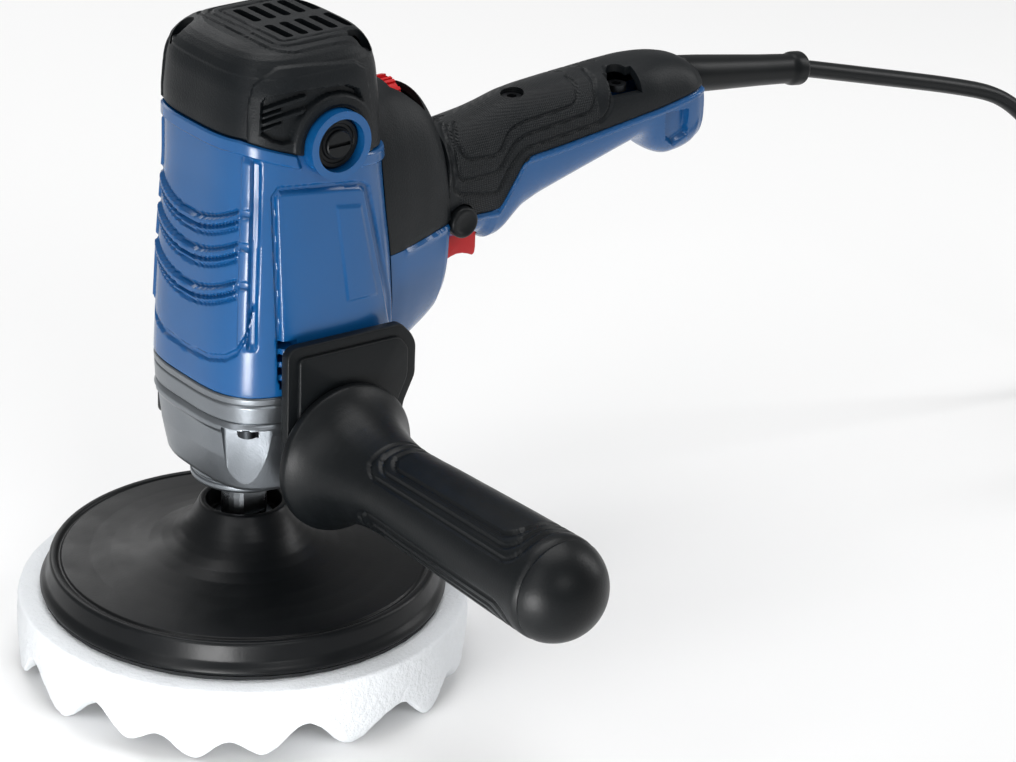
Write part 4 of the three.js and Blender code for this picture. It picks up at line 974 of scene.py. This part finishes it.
# The grooves, drawn on the side where it is widest: from the neck they turn along the grip and over its top.
GRIP_LINES = [
    [(81.1, 206), (82.9, 196.3), (88.5, 188), (101.5, 187.1), (104.3, 188.5), (108.2, 196.1), (112.9, 198.2),
     (138.1, 200.2), (140.6, 202.7), (139.3, 209.6), (134.9, 214.4)],
    [(77.8, 206), (81.8, 194.5), (85.8, 179.8), (103.6, 180), (110.8, 190.6), (115.5, 192.6), (146.9, 195.4),
     (149.7, 198.9), (147.9, 210.3), (143.3, 215.7)],
    [(75.1, 207), (82.2, 185.5), (83.6, 175.2), (103.4, 171.4), (108.9, 180.9), (114.6, 186.8), (152.1, 190.3),
     (157.3, 194.3), (157.5, 204.4), (153.7, 214.2)],
]
END_POCKET = [(185, 187.4), (197.4, 187.4), (197.4, 176), (190, 173), (186, 176)]
HANDLE_START, HANDLE_END, HANDLE_WALL = 30, 208, 3
KNURL_START, KNURL_END, KNURL_PITCH = 84, 152, 1.7


def line_distance(points, x, z):
    """Distance to an open line."""
    best = np.full(x.shape, 1e9)
    for (ax, az), (bx, bz) in zip(points, points[1:]):
        dx, dz = bx - ax, bz - az
        t = np.clip(((x - ax) * dx + (z - az) * dz) / (dx * dx + dz * dz + 1e-9), 0, 1)
        best = np.minimum(best, np.hypot(x - ax - t * dx, z - az - t * dz))
    return best


def handle_relief(x, y, z):
    """How far the skin stands out: the parting line and its bead, the nested grooves and the end pocket."""
    parting = np.interp(x, [p[0] for p in PARTING], [p[1] for p in PARTING])
    push = -0.6 * band(z - parting, 0.3, 0.5) * eased((x - 52) / 3)
    push += 0.6 * band(z - parting + 1.7, 0.5, 0.6) * eased((x - 52) / 3)
    inward = 16.5 - np.abs(y)
    u, w = x - LEAN_BACK * inward, z + LEAN_DOWN * inward
    above = eased((z - parting - 1.2) / 0.8) * eased((x - 77) / 3)
    for line in GRIP_LINES:
        push -= 0.8 * band(line_distance(softened(line, 3, 3), u, w), 0.3, 0.9) * above
    push -= 2.6 * eased(-edge_distance(END_POCKET, u, w) / 1.2) * eased((parting - z - 3) / 1)
    return push


def handle_rings(inset, start, end, count, step, relief=None):
    """Rings along the handle. The slices blend over four millimetres, but the step behind the neck stays sharp."""
    rows = np.array(HANDLE_SLICES, float)
    x = np.unique(np.concatenate([rows[:, 0], np.arange(start, end + 0.01, step)]))
    x = x[(x >= start) & (x <= end)]
    low, high, half = (np.mean([np.interp(x + s, rows[:, 0], rows[:, k]) for s in (-2, -1, 0, 1, 2)], 0)
                       for k in (1, 2, 3))
    exact = np.abs(x - 79.3) < 3.4
    for smooth, k in ((low, 1), (high, 2), (half, 3)):
        smooth[exact] = np.interp(x[exact], rows[:, 0], rows[:, k])
    uy, uz = unit_outline(2.5, count)
    y = (half - inset)[:, None] * uy
    z = ((low + high) / 2)[:, None] + ((high - low) / 2 - inset)[:, None] * uz
    ty, tz = np.roll(y, -1, 1) - np.roll(y, 1, 1), np.roll(z, -1, 1) - np.roll(z, 1, 1)
    length = np.hypot(ty, tz) + 1e-9
    along = np.repeat(x[:, None], count, 1)
    if relief is not None:
        push = relief(along, y, z)
        y, z = y + push * tz / length, z - push * ty / length
    return np.stack([along, y, z], 2)


def handle_shell(name, upper):
    """One half of the handle, fitted round the body, hollow, and open for the parts that it holds."""
    shell = skinned(name, handle_rings(0, HANDLE_START, HANDLE_END, 320, 0.6, handle_relief))
    end = softened([(p[0], p[1] - (0 if upper else GAP)) for p in PARTING], 6, 6)
    edge = [(30, 260), *end, (230, 260)] if upper else [(30, 90), *end, (230, 90)]
    carved(shell, prism("parting", edge, -45, 45), mode="INTERSECT")
    body = skinned("body", body_rings(BODY_LEVELS, np.linspace(82.6, 231, 40), 220, grow=GAP))
    cover = skinned("cover", body_rings(COVER_LEVELS, [r[0] for r in COVER_LEVELS], 220, grow=GAP))
    mouth = turned("mouth", [(0, 0), (8.2, 0), (8.2, 30), (0, 30)],
                   RELIEF_START - (RELIEF_END - RELIEF_START).normalized() * 15, RELIEF_END - RELIEF_START, 64)
    inner = skinned("inner", handle_rings(HANDLE_WALL, 54, HANDLE_END - 3, 64, 4))
    tools = [body, cover, inner, mouth, rod("Y", LOCK_RADIUS + GAP, -30, -4, LOCK_X, LOCK_Z)]
    carved(shell, *tools)
    if upper:
        carved(shell, rod("X", DIAL_RADIUS + 2, DIAL_FRONT - 0.8, DIAL_SLOT_BACK, 0, DIAL_Z, 72),
               block(159.5, 173.5, -30, -7.4, 198, 230), rod("Z", 4.5, 200, 230, 120, -2),
               rod("Z", 4.5, 198, 230, 166.5, -8))
    else:
        carved(shell, block(84.8, 101.8, -7.4, 7.4, 140, 175))
    return dressed(shell, 34)


def knurl_over(made, start, end):
    """Adds a fine crossed diagonal pattern to the grip zone of a handle finish."""
    tree = made.node_tree
    new, link = tree.nodes.new, tree.links.new
    sum_of = sums_in(tree)
    place, parts = new("ShaderNodeTexCoord"), new("ShaderNodeSeparateXYZ")
    link(place.outputs["Object"], parts.inputs[0])

    def ridges(sign):
        slant = sum_of("ADD", parts.outputs["X"], sum_of("MULTIPLY", parts.outputs["Z"], sign))
        return sum_of("SINE", sum_of("MULTIPLY", slant, 2 * math.pi / (KNURL_PITCH * MM)))

    pattern = sum_of("MULTIPLY", ridges(1.0), ridges(-1.0))
    within = sum_of("MULTIPLY", sum_of("GREATER_THAN", parts.outputs["X"], start * MM),
                    sum_of("LESS_THAN", parts.outputs["X"], end * MM))
    masked = sum_of("MULTIPLY", pattern, within)
    relief = next(n for n in tree.nodes if n.bl_idname == "ShaderNodeBump")
    grain = relief.inputs["Height"].links[0].from_socket
    link(sum_of("ADD", grain, masked), relief.inputs["Height"])


grip_black = finish_of("grip_black", "0e1215", 0.45, grain=1500, depth=0.18, cloud=0.3, spread=0.15, specular=0.22)
knurl_over(grip_black, KNURL_START, KNURL_END)
finished(handle_shell("handle_upper_moulding", True), grip_black, "body", "black_plastic", "handle_upper_shell")
finished(handle_shell("handle_lower_moulding", False), housing_blue, "body", "blue_plastic", "handle_lower_shell")

# ---- Speed dial
# A red nylon thumb wheel on the speed module's shaft, with ribs round its rim for the finger tip.
# It turns about the length of the grip in the slot behind the top cover.
DIAL_RIBS = 36


def dial_tree():
    """A short cylinder with square ribs round it, laid along the length of the grip."""
    tree, given, result = geometry_tree("ribbed wheel", [
        ("Radius", "Float"), ("Width", "Float"), ("Ribs", "Int"), ("Material", "Material")])
    new, link = tree.nodes.new, tree.links.new
    core, ring, rib = new("GeometryNodeMeshCylinder"), new("GeometryNodeMeshCircle"), new("GeometryNodeMeshCube")
    core.inputs["Vertices"].default_value = 96
    less = new("ShaderNodeMath")
    less.operation = "SUBTRACT"
    less.inputs[1].default_value = 0.0009
    link(given.outputs["Radius"], less.inputs[0])
    link(less.outputs[0], core.inputs["Radius"])
    link(given.outputs["Width"], core.inputs["Depth"])
    link(given.outputs["Ribs"], ring.inputs["Vertices"])
    link(less.outputs[0], ring.inputs["Radius"])
    size = new("ShaderNodeCombineXYZ")
    size.inputs["X"].default_value = 0.0014
    size.inputs["Y"].default_value = 0.0013
    link(given.outputs["Width"], size.inputs["Z"])
    link(size.outputs[0], rib.inputs["Size"])
    order, share, turn, spin = (new("GeometryNodeInputIndex"), new("ShaderNodeMath"), new("ShaderNodeMath"),
                                new("ShaderNodeCombineXYZ"))
    share.operation, turn.operation = "DIVIDE", "MULTIPLY"
    link(order.outputs[0], share.inputs[0])
    link(given.outputs["Ribs"], share.inputs[1])
    link(share.outputs[0], turn.inputs[0])
    turn.inputs[1].default_value = 2 * math.pi
    link(turn.outputs[0], spin.inputs["Z"])
    scatter, real, fused = (new("GeometryNodeInstanceOnPoints"), new("GeometryNodeRealizeInstances"),
                            new("GeometryNodeMeshBoolean"))
    link(ring.outputs["Mesh"], scatter.inputs["Points"])
    link(rib.outputs["Mesh"], scatter.inputs["Instance"])
    link(spin.outputs[0], scatter.inputs["Rotation"])
    link(scatter.outputs["Instances"], real.inputs["Geometry"])
    fused.operation = "UNION"
    link(real.outputs["Geometry"], fused.inputs[1])
    link(core.outputs["Mesh"], fused.inputs[1])
    lay = new("GeometryNodeTransform")
    lay.inputs["Rotation"].default_value = (0, math.pi / 2, 0)
    lay.inputs["Translation"].default_value = ((DIAL_FRONT + DIAL_BACK) / 2 * MM, 0, DIAL_Z * MM)
    link(fused.outputs["Mesh"], lay.inputs["Geometry"])
    closing_nodes(tree, result, lay.outputs["Geometry"])
    return tree


signal_red = finish_of("signal_red", "c40a12", 0.34, grain=700, depth=0.03, cloud=0.12, specular=0.35)
dial = bpy.data.objects.new("speed_dial_wheel", bpy.data.meshes.new("speed_dial_wheel"))
scene.collection.objects.link(dial)
grown(dial, dial_tree(), radius=DIAL_RADIUS * MM, width=(DIAL_BACK - DIAL_FRONT) * MM, ribs=DIAL_RIBS,
      material=signal_red)
finished(dressed(dial), signal_red, "dial_group", "red_plastic", "speed_dial")

# ---- Lock button
# A black nylon button on the right of the grip that holds the trigger in. Its face is dished, and a
# spring inside the handle brings it back out.
LOCK_PROFILE = [(0, 15.2), (6.1, 15.2), (6.1, 20.0), (5.5, 20.8), (4.6, 21.0), (3.6, 20.4), (2.0, 20.0), (0, 19.9)]
lock = turned("lock_button_cap", softened(LOCK_PROFILE, 0.5, 3), (LOCK_X, 0, LOCK_Z), (0, -1, 0), 72)
finished(lock, black_nylon, "lock_group", "black_plastic", "lock_button")

# ---- Trigger
# A red nylon finger trigger with a dished underside, guided in the lower shell. It is pulled
# upwards against the spring of the switch above it.
TRIGGER_OUTLINE = [
    (85.6, 145.6), (86.6, 144.4), (89, 145.3), (92, 145.9), (95, 145.7), (98, 144.7), (100, 143.7), (101, 144.6),
    (101.3, 147), (101.3, 158), (96, 158), (96, 160.6), (90, 160.6), (90, 158), (85.3, 158), (85.3, 149),
]


def eased_edges(piece, width):
    """Rounds off the real edges by this width."""
    rounding = piece.modifiers.new("eased", "BEVEL")
    rounding.width = width * MM
    rounding.segments = 3
    rounding.limit_method = "ANGLE"
    rounding.angle_limit = math.radians(40)
    return dressed(settled(piece))


trigger = eased_edges(prism("trigger_lever", TRIGGER_OUTLINE, -6.9, 6.9), 0.9)
finished(trigger, signal_red, "trigger_group", "red_plastic", "trigger")

# ---- Side guards
# Flat black nylon plates with a raised middle, one on each side of the gear case. The side grip is
# screwed through the right one; the left one closes the other socket.
GUARD_OUTLINE = [
    (-10.6, 88), (-6.6, 85.6), (31, 85.6), (38, 92), (41.7, 111.8), (46.5, 121.5), (46.5, 134), (44.6, 138),
    (40, 143), (-8, 144.6), (-10.6, 142),
]
GUARD_PANEL = [(-6.4, 90), (29, 90), (37.4, 113), (42, 122.6), (42, 134), (38, 139), (-6.4, 140.4)]
for side, word in ((-1, "right"), (1, "left")):
    flat, raised = sorted((side * 38.9, side * 43.3)), sorted((side * 40, side * 44.9))
    plate = eased_edges(prism("side_guard_plate_" + word, softened(GUARD_OUTLINE, 1.6, 3, True), *flat), 0.7)
    panel = eased_edges(prism("panel", softened(GUARD_PANEL, 2.2, 4, True), *raised), 0.8)
    carved(plate, panel, mode="UNION")
    carved(plate, rod("Y", 4.3, -60, 60, GRIP_X, GRIP_Z))
    finished(dressed(plate, 50), black_nylon, "body", "black_plastic", "side_guard_" + word)

# ---- Side grip
# A stout handle moulded in soft black rubber over a nylon core, with a steel stud through it. A wide
# flange guards the hand, and nested grooves run along the grip to its round end.
GRIP_ROOT = 45.3
GROOVE_INSETS, GROOVE_HALF_WIDE, GROOVE_HALF_LONG, GROOVE_MIDDLE, GROOVE_CORNER = (0, 3.6, 7.2), 21, 44, 77, 7
END_RING = 127.5
GRIP_PROFILE = [
    (4.3, 62.5), (4.3, 0), (26.8, 0), (28.5, 1.2), (28.5, 4), (27.4, 5.4), (25.6, 7.4), (24, 9.6), (22.4, 12.3),
    (21, 15.4), (19.8, 18.8), (18.8, 22.6), (18, 26.6), (17.4, 31), (17, 38), (17.2, 47), (17.6, 56), (18.2, 76),
    (18.9, 100), (19.4, 124.4),
]


def side_grip():
    """The turned shape with two sets of nested grooves pressed in, and a ring near its round end."""
    profile = [(0, 62.5)] + softened(GRIP_PROFILE, 1.0, 3)
    profile += [(19.4 * math.cos(a), 124.4 + 19.4 * math.sin(a)) for a in np.linspace(0.06, 1.52, 26)]
    run = np.array([p for p in profile if p[0] > 0])
    fine = []
    for (r0, a0), (r1, a1) in zip(run, run[1:]):
        pieces = max(1, int(math.hypot(r1 - r0, a1 - a0) / 0.9)) if a1 > a0 + 0.5 and r0 > 5 else 1
        fine += [(r0 + (r1 - r0) * t, a0 + (a1 - a0) * t) for t in np.linspace(0, 1, pieces, endpoint=False)]
    fine.append(tuple(run[-1]))
    radius, along = np.array(fine).T
    angle = np.linspace(-math.pi, math.pi, 220, endpoint=False)
    spread, length = np.meshgrid(angle, along)
    thick = np.repeat(radius[:, None], len(angle), 1)
    outer = eased((thick - 15) / 1) * eased((length - 26) / 2)
    for centre in (math.radians(78), math.radians(-102)):
        off = np.abs((spread - centre + math.pi) % (2 * math.pi) - math.pi) * 18
        for inset in GROOVE_INSETS:
            across = off - (GROOVE_HALF_WIDE - GROOVE_CORNER - inset)
            lengthwise = np.abs(length - GROOVE_MIDDLE) - (GROOVE_HALF_LONG - GROOVE_CORNER - inset)
            corner = np.hypot(np.maximum(across, 0), np.maximum(lengthwise, 0))
            field = corner + np.minimum(np.maximum(across, lengthwise), 0) - GROOVE_CORNER
            thick = thick - 0.75 * band(field, 0.4, 0.7) * outer
    thick = thick - 0.6 * band(length - END_RING, 0.4, 0.6) * outer
    x = GRIP_X + thick * np.cos(spread)
    z = GRIP_Z + thick * np.sin(spread)
    return skinned("side_grip_moulding", np.stack([x, -GRIP_ROOT - length, z], 2))


grip_rubber = finish_of("grip_rubber", "0b0e10", 0.40, grain=1500, depth=0.10, cloud=0.3, spread=0.2, specular=0.22)
finished(side_grip(), grip_rubber, "body", "pad_rubber", "side_grip")

# ---- Pieces inside, and small pieces left as they are
# Shafts, gears, bearings, laminated cores, copper windings, brushes, the switch and the speed board.
# They are steel, copper, carbon and moulded plastic, and only show through the vents.
copper_wire = finish_of("copper_wire", "a85f34", 0.38, 0.9, grain=1600, depth=0.12, cloud=0.5)
laminations = finish_of("laminations", "777b7f", 0.5, 0.8, grain=1200, depth=0.1, cloud=0.4)
graphite = finish_of("graphite", "36373a", 0.8, grain=1400, depth=0.1, cloud=0.5)
drawn_brass = finish_of("drawn_brass", "b0924c", 0.35, 0.9, grain=800, depth=0.04, cloud=0.3)
board_green = finish_of("board_green", "2e3d33", 0.6, grain=500, depth=0.08, cloud=0.6)
hook_sheet = finish_of("hook_sheet", "1c1e20", 0.9, grain=1800, depth=0.4, cloud=0.4)
INSIDE = {
    hook_sheet: ["hook_and_loop_disc"],
    tool_steel: ["pad_insert", "spindle", "output_gear", "lay_shaft", "lay_gear", "armature_shaft",
                 "spindle_lower_bearing", "armature_lower_bearing", "armature_upper_bearing", "side_grip_stud"],
    laminations: ["armature_core", "stator_core"],
    copper_wire: ["armature_winding_lower", "armature_winding_upper", "commutator", "field_coil_front",
                  "field_coil_rear"],
    graphite: ["carbon_brush_right", "carbon_brush_left", "trigger_switch"],
    drawn_brass: ["brush_holder_right", "brush_holder_left"],
    board_green: ["speed_module"],
    black_nylon: ["cooling_fan"],
}
for material, names in INSIDE.items():
    for name in names:
        nodes_of_frame[name].data.materials.clear()
        nodes_of_frame[name].data.materials.append(material)
